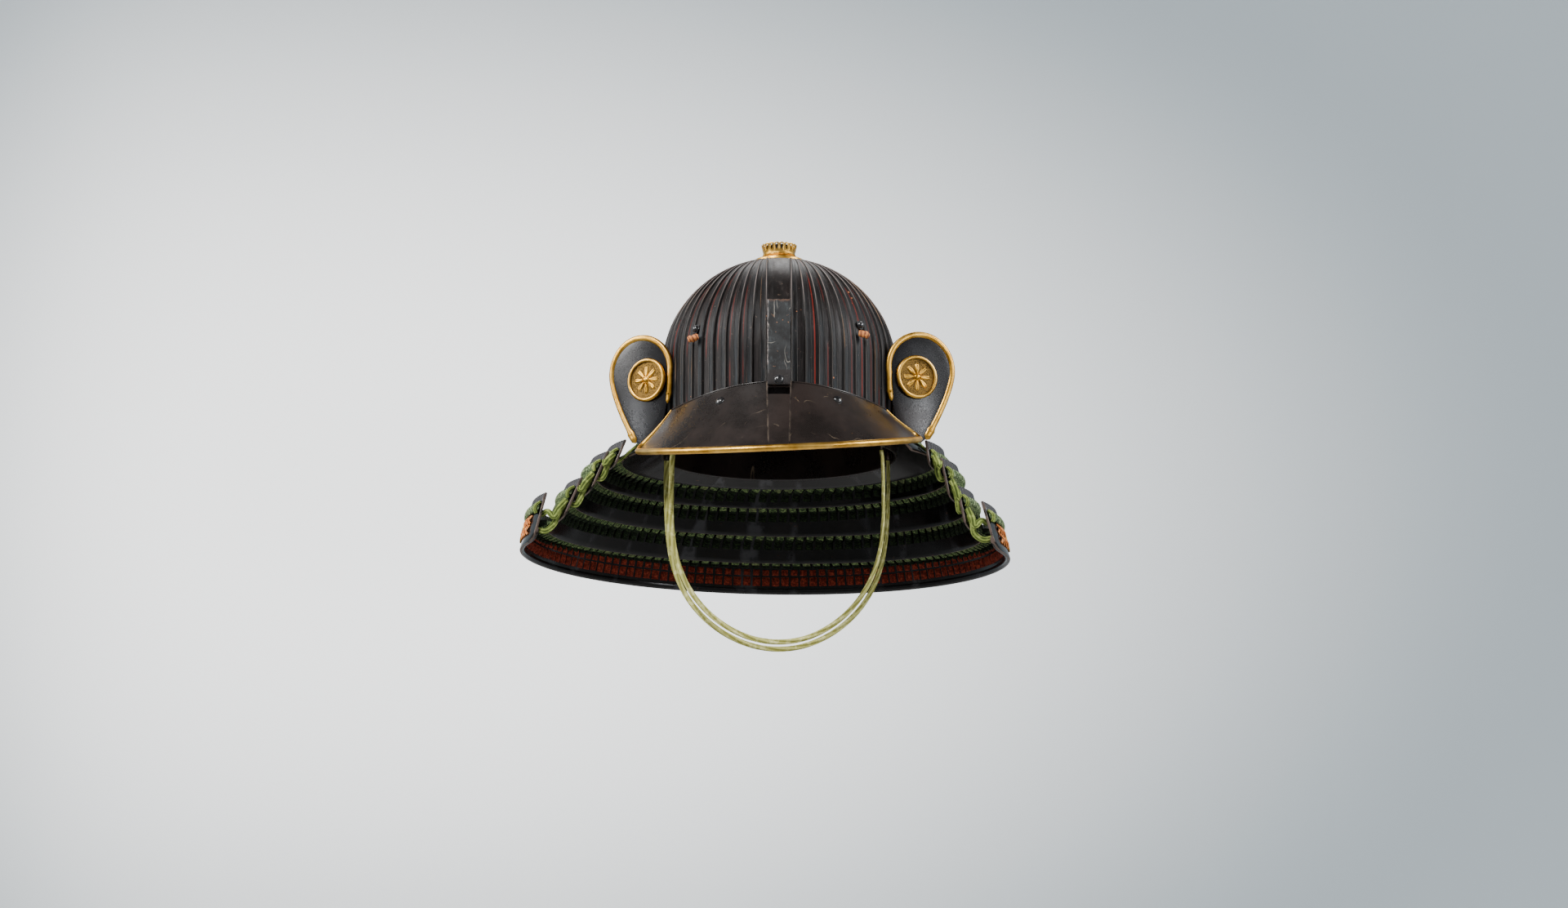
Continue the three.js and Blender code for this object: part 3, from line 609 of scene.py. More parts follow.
def lame_finish(name, ground):
    """Black lacquer over iron, worn through to brown along its edges, which on the lower edges is also a
    painted highlight; pale patches on the inner face are a painted reflection.
    """
    made, place, surface = begin(name)
    clouds = place.noise(20, 5, 0.6)
    fine = place.noise(520, 3)
    section = surface.part("Y")
    # pale vertical patches on the inner face: painted reflection
    inner_painted_sheen = surface.stretched(26, 1.2, 0).noise(1, 2, 0.4).between(0.54, 0.64) * section.near(0.8, 0.17, 0.04)
    # the lower edges: worn, and brightened as a painted highlight
    lower = section.between(0.06, 0.02) + section.between(0.93, 0.97)
    front = surface.part("X").near(0.5, 0.4968, 0.4982)
    edge = (section.near(LAME_TOP_SHARE, 0.06, 0.02) * 0.6 + lower + front).between(0, 1)
    edge = edge * place.noise(110, 4).between(0.34, 0.52)
    ribbed = section.near(LAME_TOP_SHARE - 0.09, 0.12, 0.09)
    base = coats(
        clouds.between(0.42, 0.72).tint(ground, "100c0b"),
        # painted reflection on the inner face
        (inner_painted_sheen * place.noise(70, 3).between(0.3, 0.55), 0.55, "4a4a4e"),
        # worn brown edges, also a painted highlight along the lower edges
        (edge, 0.65, "76645a"),
        (ribbed, 0.35, "4a484b"),
        (place.noise(160, 3).between(0.7, 0.75), 0.5, "4d3527"),
    )
    roughness = clouds * 0.16 + fine * 0.08 + edge * 0.2 + ribbed * 0.25 + 0.1
    height = fine * 0.3 + clouds * 1.4
    return end(made, base, roughness, height, 0.22, 0.0008, specular_ior_level=0.25)


def braid_finish(name, dark, middle, light, faded="6b6a4c", pitch=1.9, arms=2):
    """Silk braid in chevrons. Its surface coordinates run across it, and along it in millimetres."""
    made, place, surface = begin(name)
    along = surface.part("Y") / pitch
    arm = ((surface.part("X") * arms).fraction() - 0.5).absolute()
    strands = (along + arm * 2.2).wave()
    threads = (along * 2.3 + arm * 9).wave()
    mottle = place.noise(420, 4, 0.75)
    base = coats(
        (strands * 0.35 + mottle * 1.3).between(0.45, 1.15).tint(dark, middle),
        (mottle.between(0.48, 0.62) * (strands * 0.6 + 0.4), 1, light),
        (place.noise(60, 3).between(0.52, 0.7), 0.4, faded),
    )
    height = strands + threads * 0.35 + mottle * 1.2
    return end(made, base, 0.9, height, 0.8, 0.0007, specular_ior_level=0.15)


def thread_finish(name, dark, middle, light, count):
    """Soft flat silk whose bunches of threads run nearly straight along it, that many across."""
    made, place, surface = begin(name)
    along = surface.part("Y")
    bunch = (surface.part("X") * count + along / 30).wave()
    fuzz = (surface.part("X") * 40 + along / 5).sine() * 0.5 + 0.5
    mottle = place.noise(160, 4, 0.6)
    base = coats(
        (bunch * 0.75 + mottle * 0.4).between(0.15, 0.8).tint(dark, middle),
        (mottle.between(0.48, 0.62) * (bunch * 0.7 + 0.3), 1, light),
    )
    height = bunch + fuzz * 0.3 + mottle * 0.8
    return end(made, base, 0.85, height, 0.7, 0.0006, specular_ior_level=0.2)


def iron_finish():
    """Dark blue-grey iron, scuffed; a painted highlight along its left edge, and rusty along the top."""
    made, place, _ = begin("post iron")
    clouds = place.noise(90, 5, 0.65)
    fine = place.stretched(1, 1, 0.5).noise(700, 4)
    scratch = scratches(place, 60, 0.012)
    ragged = place.noise(260, 3) * 0.0024
    # a pale line along the left edge: painted highlight
    left_edge_highlight = (place.part("X") + ragged).between(-0.0082, -0.009) * place.noise(60, 3).between(0.3, 0.5)
    rust = (place.part("Z") + place.noise(170, 3) * 0.01).between(0.1245, 0.1275)
    base = coats(
        clouds.between(0.35, 0.68).tint("0e0d0d", "202223"),
        (place.stretched(1, 1, 0.6).noise(220, 5, 0.7).between(0.5, 0.72), 0.35, "454b4e"),
        (scratch, 0.6, "8f8a80"),
        (place.part("Z").between(0.0575, 0.0555), 1, "150e0c"),
        # painted highlight on the left edge, above the foot
        (left_edge_highlight * place.part("Z").between(0.06, 0.066), 0.85, "b9aaa4"),
        ((place.part("X") - ragged).between(0.0091, 0.0098), 0.6, "4a382e"),
        (rust, 0.85, "4f3626"),
        (place.noise(300, 3).between(0.66, 0.71), 0.6, "9a6a48"),
    )
    roughness = clouds * 0.22 + fine * 0.15 + rust * 0.3 + 0.25
    height = clouds + fine * 0.5 - scratch * 0.5
    return end(made, base, roughness, height, 0.35, 0.0004, specular_ior_level=0.4)


def stud_finish():
    made, place, _ = begin("stud iron")
    clouds = place.noise(300, 4)
    base = clouds.between(0.4, 0.7).tint("0d0d0e", "2b2a2b")
    return end(made, base, clouds * 0.2 + 0.14, clouds, 0.2, 0.0002, coat_weight=0.4, coat_roughness=0.08)


def leather_finish():
    """Rolled orange-brown leather with darker turns."""
    made, place, surface = begin("rolled leather")
    turns = (surface.part("Y") * 3 + surface.part("X")).wave()
    grain = place.noise(700, 4)
    base = coats(turns.between(0.05, 0.6).tint("74391a", "c87a3c"), (grain.between(0.5, 0.7), 0.6, "d9965c"))
    return end(made, base, 0.62 + grain * 0.2, turns + grain * 0.6, 0.6, 0.0005)


GILT = gilt_finish()
STIPPLED = stippled_gilt()
BOWL_LACQUER = bowl_finish()
PEAK_LACQUER = peak_finish()
EAR_LACQUER = ear_finish()
LAME_LACQUER = lame_finish("lame lacquer", "030303")
FIRST_LAME_LACQUER = lame_finish("first lame lacquer", "090605")
GREEN_SILK = braid_finish("green silk", "1a2314", "4f643f", "84985f")
# a darker copy of the green silk for the lace ends inside the guard: unfaded, and darkened further as painted
# shade
SHADED_SILK = braid_finish("unfaded and shade-painted green silk", "040703", "141e0e", "26361b", "1c2312")
ROPE_SILK = braid_finish("green rope silk", "283120", "6c825a", "abbb8c", pitch=2.2, arms=1)
CORD_SILK = thread_finish("cord silk", "84823f", "b4b268", "d6d392", 4)
EDGE_SILK = thread_finish("edge silk", "3c4a1c", "7f8f45", "a9b764", 6)
ORANGE_SILK = thread_finish("orange silk", "8e4418", "d98242", "eca870", 5)
# the cross-knots' silk on the inner face, darker than the orange outside: painted shade
RED_SILK = braid_finish("red silk", "35100a", "933420", "b9523a", "6a2c1c", 2.6)
POST_IRON = iron_finish()
STUD_IRON = stud_finish()
LEATHER = leather_finish()

# ---------------------------------------------------------------- camera, light, floor


def make_camera():
    data = bpy.data.cameras.new("camera")
    data.sensor_width = 36
    data.lens = 75
    camera = bpy.data.objects.new("camera", data)
    camera.location = (0.0045, -2.9544, -0.5169)
    camera.rotation_euler = (radians(100), 0, 0)
    bpy.context.scene.collection.objects.link(camera)
    bpy.context.scene.camera = camera


def soft_light(name, place, target, size, power, tint, spread):
    data = bpy.data.lights.new(name, "AREA")
    data.shape = "RECTANGLE"
    data.size, data.size_y = size
    data.energy = power
    data.color = tint
    data.spread = radians(spread)
    lamp = bpy.data.objects.new(name, data)
    lamp.location = place
    lamp.rotation_euler = (Vector(target) - Vector(place)).to_track_quat("-Z", "Y").to_euler()
    bpy.context.scene.collection.objects.link(lamp)


HELMET_MIDDLE = (0, 0, 0.05)
COOL = (0.95, 0.97, 1)
LIGHTS = (      # name, place, target, size, power, colour, spread
    ("left softbox", (-2.2, -0.45, 1.2), HELMET_MIDDLE, (0.8, 1.2), 8.5, (1, 0.985, 0.965), 60),
    ("right softbox", (2.2, -0.45, 1.2), HELMET_MIDDLE, (0.8, 1.2), 8.5, (0.98, 0.99, 1), 60),
    ("back softbox", (0, 1.6, 1.9), HELMET_MIDDLE, (1.6, 0.8), 5, (1, 0.995, 0.985), 70),
    ("high softbox", (-1.2, -1.75, 1.8), (0, 0, 0.1), (0.7, 0.5), 9.5, (1, 0.99, 0.98), 60),
    ("right reflector", (1.6, -1.42, 0.2), (0.13, 0, 0.04), (0.2, 0.12), 0.8, COOL, 60),
    ("left reflector", (-1.95, -0.86, 0.22), (-0.14, 0, 0.04), (0.2, 0.12), 0.4, COOL, 60),
)
FLOOR_RADIUS, FLOOR_Z = 14, -0.75
WALL_RADIUS, WALL_TOP = 5.2, 4.6


def make_floor():
    bm = bmesh.new()
    bmesh.ops.create_circle(bm, cap_ends=True, segments=96, radius=FLOOR_RADIUS)
    bmesh.ops.translate(bm, vec=(0, 0, FLOOR_Z), verts=bm.verts)
    made, place, _ = begin("pale floor")
    tone = place.noise(3, 3).between(0.2, 0.8).tint("c9c8c6", "d2d1cf")
    new_object("floor", bm, end(made, tone, 0.85))


def make_wall():
    """A round wall that glows behind the helmet, brightest a little left of it, and is dim elsewhere."""

    def place_wall(u, v):
        return on_oval(-WALL_RADIUS, -WALL_RADIUS, u * 2 * pi, lerp(FLOOR_Z, WALL_TOP, v))

    made, place, _ = begin("pale backdrop")
    across = place.part("X") + 1
    across = across * (across.between(-0.3, -1) * 0.25 + 0.37)
    up = (place.part("Z") - 0.8) * 0.6
    away = (across * across + up * up) ** 0.5
    glow = away.between(0.15, 1.1).mix((1.4, 1.42, 1.42, 1), (0.2, 0.25, 0.28, 1))
    glow = place.part("Y").between(3.6, 0.5).mix(glow, (0.21, 0.21, 0.215, 1))
    shade = end(made, (0.5, 0.5, 0.5, 1), 0.9, emission_color=glow, emission_strength=1.56)
    new_object("backdrop", sheet(96, 6, place_wall), shade)


def make_studio():
    for light in LIGHTS:
        soft_light(*light)
    world = bpy.data.worlds.new("studio")
    world.use_nodes = True
    bpy.context.scene.world = world
    background = world.node_tree.nodes["Background"]
    background.inputs["Color"].default_value = (0.86, 0.87, 0.88, 1)
    background.inputs["Strength"].default_value = 0.16
    make_floor()
    make_wall()


make_camera()
make_studio()

# ---------------------------------------------------------------- chin cords


def chin_cord(name):
    half = [Vector(p) for p in CORD_ROUTES[name]]
    other = [Vector((-p.x * CORD_SPREAD_RIGHT, p.y, p.z)) for p in reversed(half[:-1])]
    route = smooth_route([*half, *other], 7)
    # the braid lies flat towards the front on the left, and turns its edge to it on the right
    turned = [Vector((smoothstep(0.55, 0.8, k / len(route)) * 1.6, -1, 0)) for k in range(len(route))]
    bm = bmesh.new()
    sweep(bm, route, flat_section(CORD_WIDTH, CORD_THICKNESS), 12, turned)
    cord = piece(f"{name}_braid", bm, CORD_SILK, "cord", [name])
    path = [p * MM for p in route]
    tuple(path[0])
    polyline_length(path)
    print(name, "length", round(polyline_length(path), 4))


for cord_name in CORD_ROUTES:
    chin_cord(cord_name)

# ---------------------------------------------------------------- bowl

FRONT_HALF_WIDTH = 11.8     # the front plate keeps this half width up to the crown
RIDGE_SPREAD = 0.85
BAND_EDGE = 5.6             # from a ridge to the raised edge of its plate's flat band
GROOVE_START = 6.5
BAND_STEPS = (3.4, 4.8, 5.3, BAND_EDGE, 5.9, GROOVE_START)
RIDGE_STEPS = (0, 0.5, 1, 1.7, 2.5)     # times the ridge's spread


def plate_edge(number, radius_mm):
    """The angle of a plate's first edge on a ring of that radius. Plate 0 is the front one."""
    front = degrees(asin(min(FRONT_HALF_WIDTH / radius_mm, 0.62)))
    pitch = (180 - 2 * BOWL["front_plate"]) / BOWL["plates_per_side"]
    if number == 0:
        return -front
    if number > PLATES // 2:
        return 360 - plate_edge(PLATES - number + 1, radius_mm)
    even = BOWL["front_plate"] + (number - 1) * pitch
    crowd = (180 - even) / (180 - BOWL["front_plate"])
    return even + (front - BOWL["front_plate"]) * crowd**2.2


def bowl_lift(offset, pitch, scale, radius_mm):
    """How far the surface stands out, offset millimetres past a ridge: ridge, flat band, lip, groove."""
    width = RIDGE_SPREAD * scale
    near = clamp(exp(-((offset / width) ** 2)) + exp(-(((pitch - offset) / width) ** 2)))
    if pitch > 18:
        return BOWL["ridge"] * near * lerp(0.3, 1, smoothstep(14, 60, radius_mm)) + 0.3
    lip = 0.35 * exp(-(((offset - BAND_EDGE * scale) / (0.45 * scale)) ** 2))
    band = 0.65 * smoothstep(6.6 * scale, BAND_EDGE * scale, offset)
    return BOWL["ridge"] * near * scale + 0.2 + (lip + band * (1 - near)) * scale


def bowl_column(u, radius_mm):
    """A column of the bowl on a ring of that radius: its angle, and how far it stands out."""
    number, step = divmod(round(u * PLATES * PLATE_STEPS), PLATE_STEPS)
    number %= PLATES
    mirrored = number > PLATES // 2
    if mirrored:
        step = PLATE_STEPS - step
    start = plate_edge(number, radius_mm)
    pitch = radians(plate_edge(number + 1, radius_mm) - start) * radius_mm
    scale = clamp(pitch / 12, 0.1, 1)
    ridge = [steps * RIDGE_SPREAD * scale for steps in RIDGE_STEPS]
    groove = [lerp(GROOVE_START * scale, pitch - ridge[-1], share) for share in (1 / 3, 2 / 3, 1)]
    next_ridge = [pitch - spot for spot in reversed(ridge[:-1])]
    offset = [*ridge, *[spot * scale for spot in BAND_STEPS], *groove, *next_ridge][step]
    lift = bowl_lift(offset, pitch, scale, radius_mm)
    if mirrored:
        offset = pitch - offset
    return start + degrees(offset / radius_mm), lift


def on_bowl(lift, out, angle, z):
    """A place on the bowl, where out is the share of its full width left at that height."""
    return on_oval((BOWL["half_width"] + lift) * out, (BOWL["half_depth"] + lift) * out, radians(angle), z)


def make_bowl():
    last = acos(BOWL["hole"] / BOWL["half_width"])
    outer = [(0, 1, z) for z in BOWL["levels"]]
    outer += [(sin(last * s), cos(last * s), None) for s in shares(34)]
    rows = [(*row, 0) for row in outer] + [(*row, BOWL["wall"]) for row in reversed(outer[::3])]
    rows += [(*outer[0], BOWL["wall"]), (*outer[0], 0)]

    def place(u, v):
        up, out, level, depth = rows[round(v * (len(rows) - 1))]
        radius = max((BOWL["half_width"] + BOWL["half_depth"]) / 2 * out, 8)
        angle, lift = bowl_column(u, radius)
        lift = -depth if depth else lift
        z = BOWL["spring"] + (BOWL["height"] + lift - BOWL["spring"]) * up if level is None else level
        return on_bowl(lift, out, angle, z)

    bm = sheet(PLATES * PLATE_STEPS, len(rows) - 1, place)
    piece("bowl_plates", bm, BOWL_LACQUER, "bowl_lacquer", ["bowl"], recalc=True)


# how far out from the band's oval, and how high
BAND_SECTION = (
    (0, 0.6), (0, 25), (1.3, 26.2), (1.3, 29.3), (0.9, 29.6), (0.5, 29.3), (0.5, 27.9), (-2.2, 27.9),
    (-2.2, 0.6), (-1.6, 0), (-0.6, 0), (0, 0.6),
)


def make_band():
    """The band round the bowl's foot, with a thin collar that covers the feet of the ridges."""
    rows = len(BAND_SECTION) - 1

    def place(u, v):
        out, z = BAND_SECTION[round(v * rows)]
        return on_oval(BAND["half_width"] + out, BAND["half_depth"] + out, u * 2 * pi, z)

    bm = sheet(180, rows, place)
    piece("bowl_foot_band", bm, PEAK_LACQUER, "bowl_lacquer", ["bowl_band"], recalc=True)


make_bowl()
make_band()

# ---------------------------------------------------------------- crown

CROWN_SLOTS = 20
SLOT_FOOT, SLOT_SHOULDER = 4.8, 8.7     # a slot narrows below its shoulder and is round above it
CROWN_TOP = 11.75
CROWN_PROFILE = ((14.3, 0), (14.8, 0.5), (15.2, 1.2), (15.1, 2), (14.6, 2.5), (14.7, 3.2), (15.1, 5.5),
                 (15.6, 8), (16.1, 10), (16.4, 11.2), (16.2, CROWN_TOP))
CROWN_LEVELS = (0, 0.5, 1.1, 1.8, 2.4, 3.2, 4.2, *[5 + 0.45 * k for k in range(14)], 11.3, CROWN_TOP)
# how far out, from the middle for the inner part and from the CAD plate's edge for the outer; and how high
SAUCER_INNER = ((15.8, 2.9), (14, 3.1), (9, 3.1), (9, 0.6), (14, 0.3))
SAUCER_OUTER = ((-2, -0.7), (-0.4, -2.2), (0.6, -2.6), (1.1, -2.2), (1.2, -0.6), (0.6, 0.5), (-1.5, 1.4),
                (-4, 2.2))
CROWN_LINING = ((12.6, 0.2), (12.8, 4), (13.9, 9.8), (13.7, 10.2), (13.4, 9.8), (12.2, 4), (12, 0.2),
                (12.6, 0.2))


def crown_radius(height):
    for (r0, z0), (r1, z1) in zip(CROWN_PROFILE, CROWN_PROFILE[1:]):
        if height <= z1:
            return lerp(r0, r1, clamp((height - z0) / (z1 - z0)))
    return CROWN_PROFILE[-1][0]


def in_slot(u, height):
    """Whether a place on the crown is inside one of its tall, round-topped slots."""
    across = abs((u * CROWN_SLOTS) % 1 - 0.5) / 0.29
    if height < SLOT_SHOULDER:
        return height > SLOT_FOOT and across < 1 - clamp((SLOT_SHOULDER - height) / 4) ** 1.6
    return across**2 + ((height - SLOT_SHOULDER) / 1.5) ** 2 < 1


def make_saucer():
    low, high = box_of("crown_plate")
    profile = [(high.x + out, low.z + up) for out, up in SAUCER_OUTER]
    profile += [(radius, low.z + up) for radius, up in SAUCER_INNER]
    bm = spun([*profile, profile[0]], 72)
    piece("crown_saucer", bm, GILT, "gilt", ["crown_plate"], recalc=True)


def make_petal_ring():
    """The flared ring: a beaded foot, tall slots, and a wavy upper edge between the petals."""
    base = box_of("crown_ring")[0].z
    rows = len(CROWN_LEVELS) - 1

    def place(u, v):
        height = CROWN_LEVELS[round(v * rows)]
        petal = abs(sin(pi * u * CROWN_SLOTS)) ** 0.6
        radius = crown_radius(height) + 0.5 * (petal - 0.5) * smoothstep(3, 7, height)
        if 0.4 < height < 2.2:
            radius += 0.5 * sin(pi * (u * CROWN_SLOTS * 3 + height * 0.5)) ** 2 - 0.2
        height -= 0.9 * (1 - petal) * smoothstep(10, CROWN_TOP, height)
        return on_oval(radius, radius, u * 2 * pi, base + height)

    bm = bmesh.new()
    grid(bm, CROWN_SLOTS * 14, rows, place)
    cut = []
    for face in bm.faces:
        middle = face.calc_center_median()
        if in_slot((atan2(middle.x, -middle.y) / (2 * pi)) % 1, middle.z - base):
            cut.append(face)
    bmesh.ops.delete(bm, geom=cut, context="FACES")
    weld(bm, bm.verts)
    bmesh.ops.recalc_face_normals(bm, faces=bm.faces)
    bmesh.ops.solidify(bm, geom=bm.faces, thickness=1.1)
    piece("crown_petals", bm, GILT, "gilt", ["crown_ring"])
    bm = spun([(radius, base + up) for radius, up in CROWN_LINING], 48)
    piece("crown_lining", bm, STUD_IRON, "iron", recalc=True)


make_saucer()
make_petal_ring()

# ---------------------------------------------------------------- peak


def bowl_point(angle, z, lift):
    up = max(z - BOWL["spring"], 0) / (BOWL["height"] + lift - BOWL["spring"])
    return on_bowl(lift, sqrt(1 - up * up), angle, z)


def bowl_normal(angle, z):
    along = bowl_point(angle + 0.5, z, 0) - bowl_point(angle - 0.5, z, 0)
    rise = bowl_point(angle, z + 0.5, 0) - bowl_point(angle, z - 0.5, 0)
    return along.cross(rise).normalized()


def peak_upper(angle):
    z = PEAK["attach_end"] + PEAK["attach_rise"] * cos(radians(angle * PEAK["attach_waves"])) ** 2
    return bowl_point(angle, z, BOWL["ridge"] + PEAK["wall"] + GAP)


def peak_lower(angle):
    depth = (PEAK["corner_y"] - PEAK["rim_front_y"]) / (1 - cos(radians(PEAK["corner_angle"])))
    x = PEAK["rim_half_width"] * sin(radians(angle))
    y = PEAK["rim_front_y"] + depth * (1 - cos(radians(angle)))
    share = (y - PEAK["rim_front_y"]) / (PEAK["corner_y"] - PEAK["rim_front_y"])
    return Vector((x, y, lerp(PEAK["rim_front_z"], PEAK["corner_z"], share) + PEAK["lean"] * x))


def peak_line(across, side, count=24):
    """Points down the peak. across is -1 in the middle, 0 at the raised band's edge, 1 at the end."""
    band_top = degrees(asin(PEAK["band_top"] / (BOWL["half_width"] + BOWL["ridge"])))
    band_foot = degrees(asin(PEAK["band_foot"] / PEAK["rim_half_width"]))
    if across < 0:
        top, foot = band_top * (1 + across), band_foot * (1 + across)
    else:
        top = lerp(band_top, PEAK["attach_angle"], across)
        foot = lerp(band_foot, PEAK["corner_angle"], across)
    upper, lower = peak_upper(side * top), peak_lower(side * foot)
    inwards = Vector((-upper.x, -upper.y, 0)).normalized()
    middle = upper.lerp(lower, 0.5) + inwards * PEAK["hollow"]
    return [bezier(upper, middle, lower, share) for share in shares(count)]


PEAK_INSET = PEAK["rim_radius"] * 0.3


def peak_stop(across):
    """How far above the lower edge a line of the peak stops: more where its corner is rounded."""
    r = PEAK["corner_radius"]
    from_end = (1 - across) * PEAK["span"]
    if from_end >= r:
        return PEAK_INSET
    return r - sqrt(max((r - PEAK_INSET) ** 2 - (r - from_end) ** 2, 0))


def make_peak():
    end_share = 1 - PEAK_INSET / PEAK["span"]
    halves = [-1, -0.7, -0.4, -0.2, -0.12, -0.06, -0.03, 0, 0.004, 0.01, 0.03]
    halves += [lerp(0.03, 0.92, s) for s in shares(34)[1:]]
    halves += [lerp(0.92, end_share, sin(s * pi / 2)) for s in shares(10)[1:]]
    columns = [(a, -1) for a in reversed(halves[1:])] + [(a, 1) for a in halves]
    rows = 22
    lines = []
    for across, side in columns:
        line = peak_line(across, side)
        length = polyline_length(line) - peak_stop(across)
        raised = PEAK["band_raise"] * (1 - smoothstep(-0.05, 0, across))
        points = []
        for share in shares(rows):
            spot = along_polyline(line, length * share)
            out = Vector((spot.x, spot.y, abs(spot.y) * 0.4)).normalized()
            points.append(spot + out * raised * smoothstep(0, 0.04, share))
        lines.append(points)

    bm = bmesh.new()
    grid(bm, len(lines) - 1, rows, lambda u, v: lines[round(u * (len(lines) - 1))][rows - round(v * rows)])
    bmesh.ops.solidify(bm, geom=bm.faces, thickness=PEAK["wall"] - 0.2)
    cut_slot(piece("peak_plate", bm, PEAK_LACQUER, "bowl_lacquer", ["peak"], angle=50))


def cut_slot(peak):
    """The slot for a crest's foot, through the peak's raised middle."""
    size = Vector((SLOT["width"], SLOT["depth"], SLOT["height"])) * MM
    middle = Vector((0, -BOWL["half_depth"] - SLOT["depth"] / 2, SLOT["z"])) * MM
    bm = bmesh.new()
    bmesh.ops.create_cube(bm, size=1)
    bmesh.ops.scale(bm, vec=size, verts=bm.verts)
    bmesh.ops.translate(bm, vec=middle, verts=bm.verts)
    cutter = new_object("slot_cutter", bm)
    cut = peak.modifiers.new("slot", "BOOLEAN")
    cut.operation = "DIFFERENCE"
    cut.object = cutter
    bpy.context.view_layer.update()
    shaped = peak.evaluated_get(bpy.context.evaluated_depsgraph_get())
    peak.modifiers.clear()
    old = peak.data
    peak.data = bpy.data.meshes.new_from_object(shaped)
    bpy.data.meshes.remove(old)
    bpy.data.objects.remove(cutter)


def rim_half(side):
    """Points along the peak's edge on one side: down its end, round its corner and to its middle."""
    end = peak_line(1, side)
    down = (0.02, 0.1, 0.2, 0.3, 0.4, 0.5, 0.6, 0.7)
    points = [along_polyline(end, polyline_length(end) * share) for share in down]
    r = PEAK["corner_radius"]
    for turn in range(0, 91, 15):
        line = peak_line(1 - r * (1 - cos(radians(turn))) / PEAK["span"], side)
        points.append(along_polyline(line, polyline_length(line) - r * (1 - sin(radians(turn)))))
    foot = (0.86, 0.78, 0.7, 0.62, 0.54, 0.45, 0.36, 0.28, 0.2, 0.12, 0.05)
    return points + [peak_line(across, side)[-1] for across in foot]


def make_peak_rim():
    """The gilt rim along the peak's edge, round both corners and up both ends."""
    points = [*rim_half(-1), peak_line(-1, 1)[-1], *reversed(rim_half(1))]
    route = respaced(smooth_route(points, 6), 220)

    def section(u, v):
        size = PEAK["rim_radius"] * lerp(0.3, 1.06, smoothstep(0, 0.12, min(v, 1 - v)))
        return flat_section(size * 2, size * 1.9, 0.85)(u, v)

    bm = bmesh.new()
    sweep(bm, route, section, 16, Vector((-1, 0, 0)))
    piece("peak_gilt_rim", bm, GILT, "gilt", ["peak_rim"])


def make_peak_bead():
    """The low raised line along the peak's upper edge, on both sides of the post."""
    bm = bmesh.new()
    for _, side in SIDES:
        lines = [peak_line(0.02 + 0.97 * s, side, 40) for s in shares(60)]
        route = [line[0].lerp(line[1], 0.6) for line in lines]
        sweep(bm, route, round_section(0.8), 8, Vector((0, -1, 0)))
    piece("peak_edge_bead", bm, PEAK_LACQUER, "bowl_lacquer")


def domed_rivet(name, node, radius, height, normal):
    """A domed head over a CAD rivet, standing where it stands."""
    edge = radius * 1.12
    bm = spun([(0.001, -0.2), (edge, -0.2), (edge, 0.25), *dome(radius, 0.25, height - 0.25, 8)], 28)
    stand(bm, middle_of(node) - normal * height / 2, normal)
    piece(name, bm, STUD_IRON, "iron", [node], recalc=True)


def lengthwise(bm, axis):
    """A bmesh's long edges along one axis."""
    return [edge for edge in bm.edges if abs((edge.verts[0].co - edge.verts[1].co)[axis]) > 10]


def make_post():
    """The upright strip for a crest: leaning back, with worn edges and one rivet."""
    low, high = box_of("crest_post")
    lean = radians(POST["lean"])
    width = high.x - low.x
    length = (high.z - low.z - POST["thickness"] * sin(lean)) / cos(lean)
    bm = bmesh.new()
    bmesh.ops.create_cube(bm, size=1)
    bmesh.ops.scale(bm, vec=(width, POST["thickness"], length), verts=bm.verts)
    bmesh.ops.subdivide_edges(bm, edges=lengthwise(bm, 2), cuts=24)
    bmesh.ops.subdivide_edges(bm, edges=lengthwise(bm, 0), cuts=9)
    edges = [e for e in bm.edges if e.calc_face_angle(0) > 1]
    bmesh.ops.bevel(
        bm, geom=edges, offset=POST["bevel"], segments=2, affect="EDGES", profile=0.5, material=-1
    )
    for vert in bm.verts:
        worn = abs(random.uniform(-1, 1))
        if vert.co.z > length / 2 - 0.6:
            vert.co.z -= POST["worn_top"] * worn
        elif abs(vert.co.x) > width / 2 - 0.2:
            vert.co.x -= copysign(POST["worn_side"] * worn, vert.co.x)
    turn = Matrix.Rotation(-lean, 4, "X")
    bmesh.ops.transform(bm, matrix=Matrix.Translation((low + high) / 2) @ turn, verts=bm.verts)
    piece("crest_post_strip", bm, POST_IRON, "iron", ["crest_post"], angle=30)
    domed_rivet("crest_post_rivet", "post_rivet", 4.1, 2.7, Vector((0, -cos(lean), sin(lean))))


def make_peak_rivets():
    for name, side in SIDES:
        line, beside = peak_line(0.37, side), peak_line(0.42, side)
        spot, below = (along_polyline(line, polyline_length(line) * share) for share in (0.2, 0.25))
        level = along_polyline(beside, polyline_length(beside) * 0.2)
        normal = (below - spot).cross(level - spot).normalized()
        if normal.y > 0:
            normal.negate()
        domed_rivet(f"peak_dome_rivet_{name}", f"peak_rivet_{name}", 4.3, 3, normal)


make_peak()
make_peak_rim()
make_peak_bead()
make_post()
make_peak_rivets()

# ---------------------------------------------------------------- studs and leather ends

STUD_TURN = 45.5            # degrees from the front or the back
STUD_Z = 103.2
STUD_FOOT = ((0.001, -2), (4.2, -2), (4.3, -1.7), (4.2, -1.25), (3.4, -1.2))
STUDS = {       # the angle, and how far the stud and the leather end sit from their plain places
    "front_left": (-STUD_TURN, (0.9, -1, -0.2), (3.7, -3.8, -3.1)),
    "front_right": (STUD_TURN, (-2.4, -2.2, 3.2), (-4.4, -4, 0.4)),
    "rear_left": (STUD_TURN - 180, (0, 0, 0), (1.2, 1.2, -1.4)),
    "rear_right": (180 - STUD_TURN, (0, 0, 0), (-1.2, 1.2, -1.4)),
}
LEATHER_LENGTH = 9
LEATHER_RADIUS = 3.3


